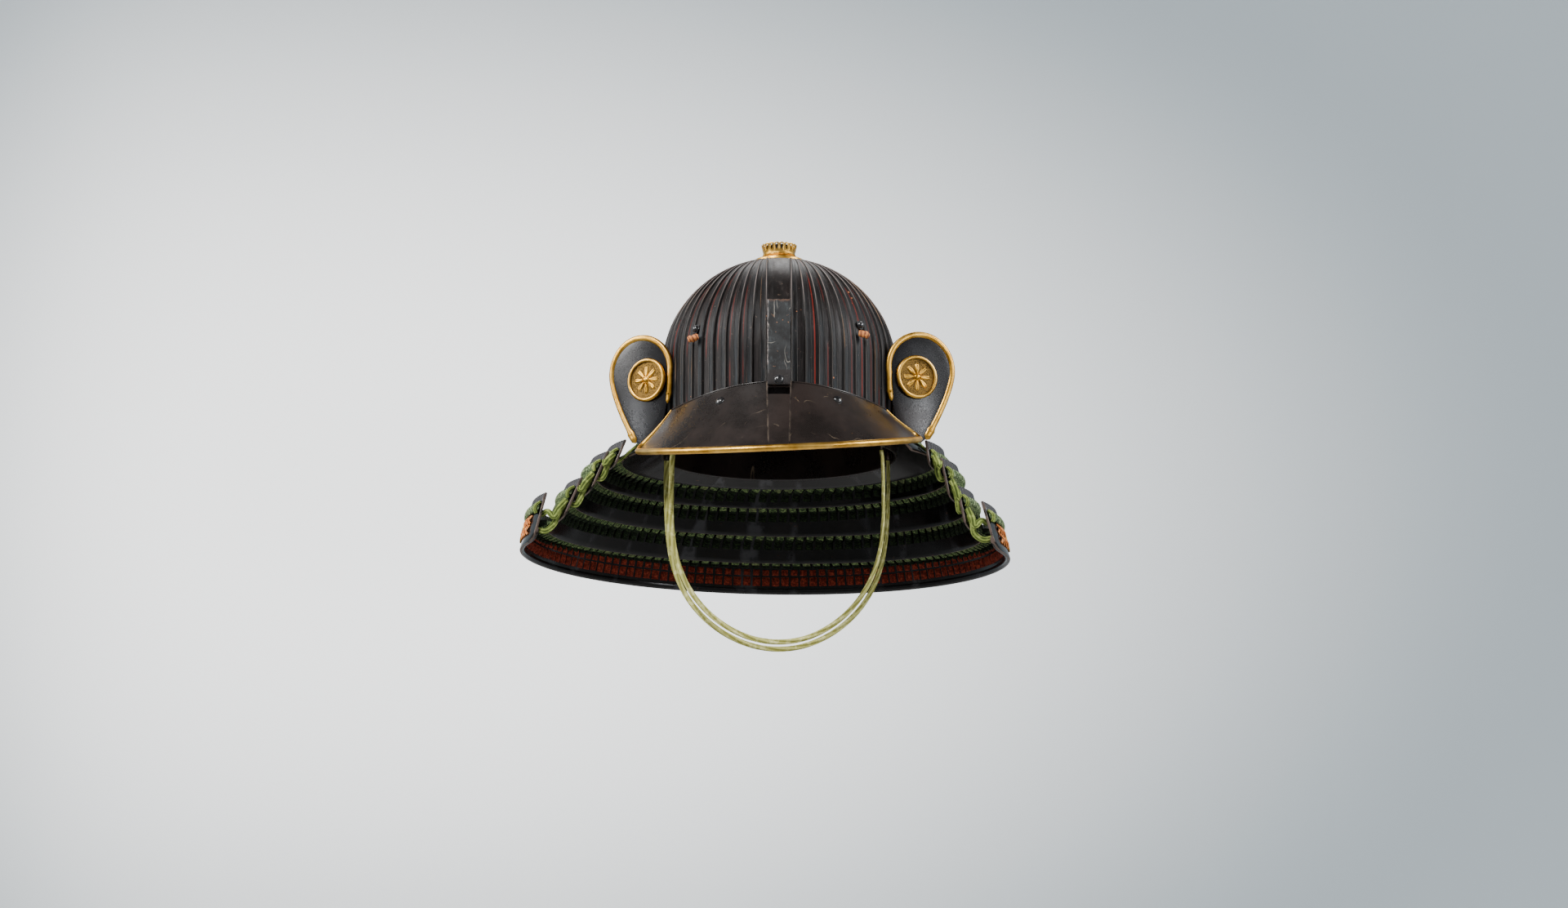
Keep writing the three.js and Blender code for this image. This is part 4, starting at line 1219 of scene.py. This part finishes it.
def leather_section(u, v):
    """Uneven, and narrower towards both ends."""
    rolled = 1 + 0.12 * sin(v * 9 + u * 6) + 0.09 * sin(u * 19 + v * 4)
    size = LEATHER_RADIUS * rolled * lerp(0.8, 1, smoothstep(0, 0.3, min(v, 1 - v) * 2))
    return size * cos(u * 2 * pi), size * 0.85 * sin(u * 2 * pi)


def make_stud(quarter, angle, stud_shift, leather_shift):
    normal = bowl_normal(angle, STUD_Z)
    bm = spun([*STUD_FOOT, *dome(3.3, -1, 2.9, 8)], 32)
    stand(bm, middle_of(f"stud_{quarter}") + Vector(stud_shift), normal)
    piece(f"stud_head_{quarter}", bm, STUD_IRON, "iron", [f"stud_{quarter}"], recalc=True)

    middle = middle_of(f"cord_stub_{quarter}") + Vector(leather_shift)
    sideways = Vector((0, 0, 1)).cross(normal).normalized() * (-1 if middle.x * middle.y > 0 else 1)
    lie = (normal * 0.6 + sideways * 0.5 + Vector((0, 0, -0.35))).normalized()
    start = middle - lie * 4
    route = [start + lie * LEATHER_LENGTH * s + normal * (0.8 * sin(pi * s) + 0.8) for s in shares(10)]
    bm = bmesh.new()
    sweep(bm, route, leather_section, 16, normal, length=1)
    piece(f"leather_end_{quarter}", bm, LEATHER, "leather", [f"cord_stub_{quarter}"])


for stud_quarter, stud_places in STUDS.items():
    make_stud(stud_quarter, *stud_places)

# ---------------------------------------------------------------- ears


def ear_border():
    """Points round the ear, in its own plane: from its tip, round its crown, to its inner edge."""
    turns = [lerp(EAR["outer_turn"], EAR["inner_turn"], s) for s in shares(48)]
    crown = [
        Vector(EAR["crown"]) + Vector((cos(radians(turn)), sin(radians(turn)))) * EAR["crown_radius"]
        for turn in turns
    ]
    tip, outer, inner, end = (Vector(EAR[key]) for key in ("tip", "outer_pull", "inner_pull", "inner_end"))
    points = [bezier(tip, outer, crown[0], s) for s in shares(24)] + crown[1:]
    points += [bezier(crown[-1], inner, end, s) for s in shares(12)[1:]]
    return respaced(points, 90)


def inset(points, distance):
    moved = []
    for k, spot in enumerate(points):
        along = (points[min(k + 1, len(points) - 1)] - points[max(k - 1, 0)]).normalized()
        moved.append(Vector((spot.x - along.y * distance, spot.y + along.x * distance)))
    return moved


def ear_dish(spot):
    across = (spot.x - EAR["crown"][0]) / EAR["crown_radius"]
    up = (spot.y - EAR["crown"][1]) / EAR["dish_tall"]
    return -EAR["dish"] * min(across * across + up * up, 1)


EAR_COLUMNS = 130
EAR_RINGS = (1, 0.97, 0.9, 0.8, 0.68, 0.55, 0.42, 0.3, 0.18, 0.08, 0)   # from the border to the middle
RIM_LEAVES = ((3.4, 0.35, 2.2), (8.6, 0.5, 2.6))    # from the rim's end, how much it swells, over how far


def make_ear(name, side):
    yaw = radians(EAR_SIDES[name]["yaw"])
    outwards = Vector((side * cos(yaw), sin(yaw), 0))
    facing = Vector((side * sin(yaw), -cos(yaw), 0))
    corner = Vector((side * EAR["inner_x"], EAR["inner_y"], EAR_SIDES[name]["lift"]))
    border = ear_border()
    outline = [*inset(border, EAR["rim"] * 1.1), *[Vector(p) for p in EAR["fold"]]]
    outline = respaced([*outline, outline[0]], EAR_COLUMNS)

    def place_at(spot, forward):
        return corner + outwards * spot.x + facing * forward + Vector((0, 0, spot.y))

    def place(u, v):
        share = EAR_RINGS[round(v * (len(EAR_RINGS) - 1))]
        spot = Vector(EAR["middle"]).lerp(outline[round(u * EAR_COLUMNS)], share)
        return place_at(spot, ear_dish(spot) - 0.35 * smoothstep(0.93, 1, share))

    bm = sheet(EAR_COLUMNS, len(EAR_RINGS) - 1, place)
    bmesh.ops.recalc_face_normals(bm, faces=bm.faces)
    if sum(face.normal.dot(facing) for face in bm.faces) < 0:
        bmesh.ops.reverse_faces(bm, faces=bm.faces)
    bmesh.ops.solidify(bm, geom=bm.faces, thickness=EAR["thickness"] - 0.2)
    piece(f"ear_plate_{name}", bm, EAR_LACQUER, "ear_lacquer", [f"ear_{name}"], angle=50)

    route = [place_at(spot, ear_dish(spot) - EAR["thickness"] / 2) for spot in inset(border, EAR["rim"])]
    total = polyline_length(route)

    def section(u, v):
        stop = total - v * total
        near = min(v * total, stop)
        leaf = sum(swell * exp(-(((near - at) / width) ** 2)) for at, swell, width in RIM_LEAVES)
        size = EAR["rim"] * 1.06 * lerp(0.62, 1, smoothstep(4, 16, stop))
        size *= lerp(0.45, 1, smoothstep(0, 2.5, near))
        return flat_section(size * 2 * (1 + leaf), size * 1.7, 0.85)(u, v)

    bm = bmesh.new()
    sweep(bm, route, section, 14, facing)
    for at in (RIM_LEAVES[1][0], total - RIM_LEAVES[1][0]):
        made = bmesh.ops.create_uvsphere(bm, u_segments=10, v_segments=6, radius=1.1)["verts"]
        bmesh.ops.translate(bm, vec=along_polyline(route, at) + facing * (EAR["rim"] * 0.8), verts=made)
    piece(f"ear_gilt_rim_{name}", bm, GILT, "gilt", [f"ear_rim_{name}"])
    make_disc(name, facing)


DISC_RADIUS = 20
DISC_INNER = 16.8           # where the raised ring ends
DISC_GROUND = 1.1           # height of the sunk ground
DISC_BACK = 1.45            # the disc's foot lies that far behind the CAD disc's middle
DISC_RING = ((0.001, 0), (19.6, 0), (DISC_RADIUS, 0.5), (DISC_RADIUS, 1.6), (19.5, 2.5), (18.8, 3), (17.6, 3),
             (16.9, 2.5), (DISC_INNER, DISC_GROUND), (DISC_INNER - 0.01, DISC_GROUND))


def make_disc(name, facing):
    """A cast gilt disc: a raised ring, a stippled sunk ground, and an eight-petalled flower."""
    up = Vector((0, 0, 1))
    turn = Matrix((up.cross(facing).normalized(), up, facing)).transposed().to_4x4()
    place = Matrix.Translation(middle_of(f"ear_disc_{name}") - facing * DISC_BACK) @ turn

    def finish(bm, part, lacquer, **rest):
        bmesh.ops.transform(bm, matrix=place, verts=bm.verts)
        piece(f"disc_{part}_{name}", bm, lacquer, "gilt", **rest)

    finish(spun(DISC_RING, 96), "ring", GILT, replaced=[f"ear_disc_{name}"], recalc=True)

    ground = sheet(48, 10, lambda u, v: on_oval(DISC_INNER * v, -DISC_INNER * v, u * 2 * pi, DISC_GROUND))
    finish(ground, "ground", STIPPLED)

    bm = bmesh.new()
    for k in range(8):
        petal = grid(bm, 8, 10, petal_place)
        weld(bm, petal)
        petal = [vert for vert in petal if vert.is_valid]
        bmesh.ops.rotate(bm, matrix=Matrix.Rotation(k * pi / 4, 3, "Z"), verts=petal)
    hub = [(3.3, DISC_GROUND - 0.1), (3.3, DISC_GROUND + 0.5), *dome(2.8, DISC_GROUND + 0.6, 1.4, 6)]
    finish(spun(hub[::-1], 28, bm), "flower", GILT)


def petal_place(u, v):
    """One petal: narrow at the hub, broad and notched at its end, cupped along its middle."""
    across = (0.5 - u) * 2
    notch = 0.9 * (1 - abs(across)) * smoothstep(0.8, 1, v)
    half = 2.9 * sin(pi * clamp(0.12 + 0.8 * v)) ** 0.8 * (1 - 0.45 * (1 - v))
    rise = 1.5 * (1 - across * across) ** 0.5 * (1 - v * 0.35) - 0.7 * exp(-((across / 0.22) ** 2)) * v
    if abs(across) > 0.999 or not 0.001 < v < 0.999:
        rise = 0
    return Vector((2.6 + 10.4 * v - notch, half * across, 1.05 + rise))


for side_name, side_sign in SIDES:
    make_ear(side_name, side_sign)

# ---------------------------------------------------------------- neck guard


class Lame:
    """One lame of the neck guard: places on its outer face."""

    def __init__(self, row):
        for key, value in zip(LAME_COLUMNS, row):
            setattr(self, key, value)
        self.first = self.rise == 0
        self.end_turn = pi - asin(self.end_x / self.half_width)
        self.front = (self.widest_y - self.end_y) / -cos(self.end_turn)
        self.height = (self.point(0.5, 1) - self.point(0.5, 0)).length
        self.length = polyline_length([self.point(lerp(-1, 1, s), 0.5) for s in shares(120)])
        self.scales = round(self.length / 6)

    def point(self, along, up):
        turn = along * self.end_turn
        reach = self.back_y - self.widest_y if cos(turn) > 0 else self.front
        x = self.half_width * sin(turn)
        y = self.widest_y + reach * cos(turn)
        z = lerp(self.back_z, self.end_z, (sin(turn / 2) / sin(self.end_turn / 2)) ** 2)
        if self.first:
            clear = FIRST_LAME_TOP["clear"]
            band_turn = radians(along * FIRST_LAME_TOP["end_turn"])
            top = on_oval(
                BAND["half_width"] + clear, -BAND["half_depth"] - clear, band_turn, FIRST_LAME_TOP["z"]
            )
            return Vector((x, y, z)).lerp(top, up)
        flare_x = self.flare * up * sin(turn)
        flare_y = self.flare_back * up * cos(turn)
        shift = lerp(self.shift_foot, self.shift_top, up)
        return Vector((x - flare_x + shift, y - flare_y, z + self.rise * up - self.lean * x))

    def normal(self, along, up=0.5):
        step = 0.01
        round_it = self.point(along + step, up) - self.point(along - step, up)
        rise = self.point(along, up + step) - self.point(along, up - step)
        return rise.cross(round_it).normalized()

    def on(self, along, up, out):
        return self.point(along, up) + self.normal(along, up) * out

    def behind_end(self, distance):
        """How far along a place is that lies that many millimetres behind the front end."""
        return 1 - distance / (self.length / 2)

    def forwards(self, side):
        """The way the lame's surface runs on past its front end."""
        return (self.point(side, 0.5) - self.point(side * 0.97, 0.5)).normalized()

    def foot(self, along):
        """How far up the lower edge is, where the front corner is rounded."""
        share = clamp((abs(along) - LAME_CORNER_AT) / (1 - LAME_CORNER_AT))
        return (self.corner / self.height) * (1 - sqrt(1 - (share * 0.99) ** 2))

    def up_at(self, along, z):
        return (z - self.point(along, 0).z) / max(self.point(along, 1).z - self.point(along, 0).z, 1)


LAMES = [Lame(row) for row in LAME_ROWS]
RIBBED = 9.5                # height of the ribbed strip along a lame's upper edge
ROPE = 9                    # height of the row of twisted lacing below it
ROPE_TWIST = 6.4            # length of one turn of its twist
TAIL_DISC_AT = (0.82, 0.42) # how far along the last lame, and how far up
RIM_FOOT = 8.5              # height of the bare rim along the last lame's lower edge


def lame_section(lame, last):
    """Round a lame: how far up, how deep, and the share of the ribs' height there."""
    ribbed = RIBBED / lame.height
    lip = 0.8 / lame.height
    wall = LAME_WALL
    section = [(0, 0.55 * wall, 0), (0, 0.2 * wall, 0), (lip, 0, 0)]
    section += [(up, 0, 0) for up in (0.1, 0.25, 0.4, 0.55)]
    section += [(1 - ribbed * 1.15, 0, 0), (1 - ribbed, 0, 0.25), (1 - ribbed * 0.9, 0, 0.8)]
    section += [(1 - ribbed * 0.6, 0, 1), (1 - ribbed * 0.3, 0, 1), (1 - lip, 0, 0.7)]
    section += [(1, 0.3 * wall, 0), (1, 0.7 * wall, 0), (1 - lip, wall, 0)]
    section += [(up, wall, 0) for up in (0.85, 0.7, 0.55, 0.4, 0.25, 0.1)]
    if last:
        section += [(0.12, 3.7, 0), (0.07, 4.4, 0), (0.02, 4.0, 0), (0.0, 3.0, 0), (-0.004, 2.0, 0)]
    else:
        section += [(lip, wall, 0), (0, 0.8 * wall, 0)]
    return [*section, section[0]]


END_COLUMNS = ((0, 0), (0.05, 0.72), (0.35, 0.94), (1.1, 1))    # behind the front end, share of the wall
SCALE_COLUMNS = 8           # columns of faces across one of the ribs along a lame's upper edge


def make_lame(lame, number, finish):
    section = lame_section(lame, number == len(LAMES))
    rows = len(section) - 1
    inner = [lerp(-1, 1, share) for share in shares(lame.scales * SCALE_COLUMNS)]
    ends = [(lame.behind_end(back), wall) for back, wall in END_COLUMNS]
    columns = [(-along, wall) for along, wall in ends]
    columns += [(along, 1) for along in inner if abs(along) < ends[-1][0] - 0.001]
    columns += list(reversed(ends))
    normals = [lame.normal(along, 0.5) for along, _ in columns]

    def place(u, v):
        k = round(u * (len(columns) - 1))
        along, wall_share = columns[k]
        up, depth, rib = section[round(v * rows)]
        scale = abs(cos(pi * (along + 1) * lame.scales / 2))
        foot = 0 if lame.first else lame.foot(along)
        if up >= 1 - 0.8 / lame.height and not lame.first:
            up -= 1.4 / lame.height * (1 - scale**0.5)
        if wall_share < 1:
            up = lerp(0.5, up, 1 - 0.02 * (1 - wall_share))
        depth = lerp(LAME_WALL / 2, depth, wall_share)
        ribs = 0 if lame.first else rib * 0.95 * (scale**0.45 - 0.5) * wall_share
        return lame.point(along, lerp(foot, 1, up)) + normals[k] * (ribs - depth)

    bm = sheet(len(columns) - 1, rows, place)
    cap(bm, bm.verts)
    piece(f"lame_{number}", bm, finish, "lame_lacquer", [lame.name], angle=50, recalc=True)


def make_rope_row(lame, number):
    """A row of thick twisted lacing round a lame's outer face, just below its ribs."""
    up = 0.5 if lame.first else 1 - (RIBBED + ROPE / 2) / lame.height
    limit = lame.behind_end(30 if lame.first else 4.5)
    alongs = [lerp(-limit, limit, s) for s in shares(round(lame.length / 1.5))]
    route = [lame.on(along, up, 1.7) for along in alongs]
    total = polyline_length(route)

    def section(u, v):
        turn = u * 2 * pi
        wave = 0.5 + 0.5 * cos(2 * pi * v * total / ROPE_TWIST + turn)
        end = lerp(0.7, 1, smoothstep(0, 4, min(v, 1 - v) * total))
        return (ROPE / 2) * (0.84 + 0.16 * wave) * cos(turn) * end, (1.3 + 1.3 * wave) * sin(turn) * end

    bm = bmesh.new()
    sweep(bm, route, section, 12, [lame.normal(along, up) for along in alongs])
    piece(f"rope_row_{number}", bm, ROPE_SILK, "lacing")


LACE_PITCH = 8.6
LACE_WIDTH = 7.3
# down the outer face, round the lower edge, and the puffed square on the next lame: half thicknesses
LACE_THICKNESS = (0.8, 0.8, 0.8, 0.8, 0.7, 0.9, 1.35, 1.4, 0.9, 0.35)


def lace_path(upper, lower, along, hole_drop, end_drop):
    """One flat lace's path and its normals: down the upper lame, under its edge, behind the lower lame."""
    edge_z = upper.point(along, 0).z
    top_up = 0.5 if upper.first else 1 - (RIBBED + ROPE - 1) / upper.height
    foot = 0 if upper.first else upper.foot(along)
    path = [upper.on(along, lerp(foot, top_up, u), 1.1) for u in (1, 0.7, 0.35, 0.04)]
    hole = lower.on(along, lower.up_at(along, edge_z - hole_drop), -LAME_WALL - 0.9)
    end_spot = lower.on(along, lower.up_at(along, edge_z - end_drop), -LAME_WALL - 0.8)
    path.append(path[-1].lerp(hole, 0.5) + Vector((0, 0, -1.2)))
    path += [hole.lerp(end_spot, share) for share in (0, 0.3, 0.7, 0.93, 1)]
    outer, inner = upper.normal(along, 0.3), lower.normal(along, 0.5)
    return path, [outer] * 4 + [(outer + inner).normalized()] + [inner] * 5


def make_lace_strips(number):
    """Flat laces from one lame's outer face, under its edge, to the next lame's inner face."""
    upper, lower = LAMES[number - 1], LAMES[number]
    limit = upper.behind_end(34 if upper.first else 5.5)
    count = round(upper.length * limit / LACE_PITCH)
    drops = (0.5, 3) if number == len(LAMES) - 1 else (3, 11)
    outer, inner = bmesh.new(), bmesh.new()
    for k in range(count):
        path, normals = lace_path(upper, lower, lerp(-limit, limit, (k + 0.5) / count), *drops)
        width = LACE_WIDTH + random.uniform(-0.35, 0.3)
        for bm, first, last in ((outer, 0, 4), (inner, 4, 9)):

            def section(u, v):
                return flat_section(width, 2 * LACE_THICKNESS[first + round(v * (last - first))], 0.55)(u, v)

            sweep(bm, path[first : last + 1], section, 8, normals[first : last + 1])
    piece(f"lace_strips_{number}", outer, GREEN_SILK, "lacing", [f"lacing_{number}"])
    # the inner ends take the darker silk: painted shade
    piece(f"lace_ends_{number}", inner, SHADED_SILK, "lacing", [f"lacing_{number}"])


STITCH_PITCH = 9
DISC_CLEAR = 13             # no stitch is nearer than this to a tail disc's middle


def stitches(drop, reach, out):
    """Places on the last lame for a row of stitches: how far along, middle, across, upwards and outwards."""
    lame = LAMES[-1]
    count = round(lame.length / STITCH_PITCH)
    up = drop / lame.height
    for k in range(count):
        along = lerp(-reach, reach, (k + 0.5) / count)
        normal = lame.normal(along, up)
        across = (lame.point(along + 0.002, up) - lame.point(along - 0.002, up)).normalized()
        yield along, lame.on(along, up, out), across, across.cross(normal), normal


def make_squares(name, drop, size):
    """A row of square stitches on the last lame's inner face, drop millimetres above its lower edge."""
    bm = bmesh.new()
    for _, middle, across, rise, normal in stitches(drop, 0.95, -LAME_WALL - 0.35):
        jitter = random.uniform(-0.25, 0.25)

        def place(u, v):
            x, y = (u - 0.5) * 2, (v - 0.5) * 2
            puff = 1.35 * (1 - x**4) ** 0.5 * (1 - y**4) ** 0.5 if abs(x) < 0.999 and abs(y) < 0.999 else 0
            return middle + across * x * size[0] / 2 + rise * (y * size[1] / 2 + jitter) - normal * puff

        grid(bm, 5, 5, place, size)
    # darker red silk on the inner side: painted shade
    piece(name, bm, RED_SILK, "lacing")


def make_crosses(name, drop, size):
    """A row of crossed stitches on the last lame's outer face."""
    lame = LAMES[-1]
    bm = bmesh.new()
    for along, middle, across, rise, normal in stitches(drop, 0.945, 0.3):
        disc = lame.point(copysign(TAIL_DISC_AT[0], along), TAIL_DISC_AT[1])
        if (lame.point(along, drop / lame.height) - disc).length < DISC_CLEAR:
            continue
        for tilt in (1, -1):
            path = [
                middle + across * (s - 0.5) * size[0] + rise * (s - 0.5) * size[1] * tilt
                + normal * (1.5 + 0.5 * tilt) * sin(pi * s)
                for s in shares(6)
            ]
            sweep(bm, path, flat_section(2.6, 1.3, 0.7), 8, [normal] * len(path), length=9)
    piece(name, bm, ORANGE_SILK, "lacing")


def lace_end(bm, lame, side):
    """The short upright end of the thick lace that shows between a lame's ribs and its rope row."""
    along = side * lame.behind_end(6.5)
    top = 1 - (RIBBED - 0.5) / lame.height
    foot = 1 - (RIBBED + ROPE + 1) / lame.height
    outs = (0.4, 2.4, 3.6, 3.8, 3.2, 1.4)
    path = [lame.on(along, lerp(top, foot, s), out) for s, out in zip(shares(5), outs)]
    path = respaced(smooth_route(path, 4), 14)
    sweep(bm, path, flat_section(5, 3, 0.8), 12, [lame.normal(along)] * len(path), length=12)


def lace_loop(bm, upper, lower, side):
    """Two thick strands that bow out between a lame's lower front corner and the next lame."""
    forwards = upper.forwards(side)
    along = side * upper.behind_end(5)
    lower_along = side * lower.behind_end(7)
    middle_up = lower.up_at(lower_along, upper.point(along, 0).z)
    strands = (     # three places on the upper lame, the bow's drop, and where it ends on the lower lame
        (((0.46, 2.6), (0.2, 5.6), (0.02, 6.4)), 3.6, min(middle_up + 0.16, 0.93)),
        (((0.36, 1.6), (0.1, 3.2), (-0.1, 2.6)), -3.6, middle_up - 7 / lower.height),
    )
    for number, (places, hang, last) in enumerate(strands):
        shift = forwards * (0.8 - 2.6 * number)
        finish = lower.on(lower_along, last, -LAME_WALL - 1.7)
        path = [upper.on(along, up, out) + shift for up, out in places]
        path += [path[-1].lerp(finish, 0.55) + Vector((0, 0, hang)) + forwards * 1.5, finish]
        path = respaced(smooth_route(path, 6), 24)
        normals = [(forwards + upper.normal(along) * 0.4).normalized()] * len(path)
        sweep(bm, path, flat_section(5.6, 2.8, 0.8), 12, normals)


def first_lace_loop(bm, upper, lower, side):
    """The single strand at the end of the first lame's lacing."""
    along = side * 0.9
    finish = lower.on(along, lower.up_at(along, upper.point(along, 0).z - 6), -LAME_WALL - 1.6)
    path = [upper.on(along, up, 2.2) for up in (0.3, 0.12, 0)]
    path += [path[-1].lerp(finish, 0.5) + Vector((0, 0, -3)), finish]
    path = respaced(smooth_route(path, 6), 20)
    sweep(bm, path, flat_section(5.6, 2.6), 12, [upper.normal(along)] * len(path), length=40)


def make_edge_loops():
    for name, side in SIDES:
        for number, (upper, lower) in enumerate(zip(LAMES, LAMES[1:]), 1):
            bm = bmesh.new()
            (first_lace_loop if upper.first else lace_loop)(bm, upper, lower, side)
            lace_end(bm, lower, side)
            piece(f"edge_loop_{name}_{number}", bm, EDGE_SILK, "cord", [f"edge_lace_{name}_{number}"])


TAIL_DISC = ((0.001, 0), (11.6, 0), (12, 0.4), (11.8, 1.1), (11.2, 1.4), (10.4, 1.1), (9.8, 1), (4, 1.2),
             (2.4, 1.35), (0.001, 1.4))
CORD_RING_RADIUS, CORD_RING_WIRE = 3.3, 0.9


def make_tail_discs():
    lame = LAMES[-1]
    for name, side in SIDES:
        along, up = side * TAIL_DISC_AT[0], TAIL_DISC_AT[1]
        bm = spun(TAIL_DISC, 64)
        stand(bm, lame.on(along, up, 0.7), lame.normal(along, up))
        piece(f"tail_gilt_disc_{name}", bm, GILT, "gilt", [f"tail_disc_{name}"], recalc=True)


def make_rings():
    for cord in CORD_ROUTES:
        for name, _ in SIDES:
            node = f"ring_{cord}_{name}"
            turns = [2 * pi * s for s in shares(24)]
            path = [middle_of(node) + Vector((0, cos(t), sin(t))) * CORD_RING_RADIUS for t in turns]
            bm = bmesh.new()
            sweep(bm, path, round_section(CORD_RING_WIRE), 8, Vector((1, 0, 0)), closed=False)
            weld(bm, bm.verts)
            piece(f"cord_ring_{cord}_{name}", bm, POST_IRON, "iron", [node])


for index, strip in enumerate(LAMES):
    make_lame(strip, index + 1, FIRST_LAME_LACQUER if strip.first else LAME_LACQUER)
    make_rope_row(strip, index + 1)
for index in range(1, len(LAMES)):
    make_lace_strips(index)
make_squares("red_squares_upper", RIM_FOOT + 13.2, (6.4, 5.8))
make_squares("red_squares_lower", RIM_FOOT + 4.3, (7.4, 8.6))
make_crosses("orange_crosses_upper", RIM_FOOT + 14, (7.6, 8))
make_crosses("orange_crosses_lower", RIM_FOOT + 4.5, (8, 9))
make_edge_loops()
make_tail_discs()
make_rings()
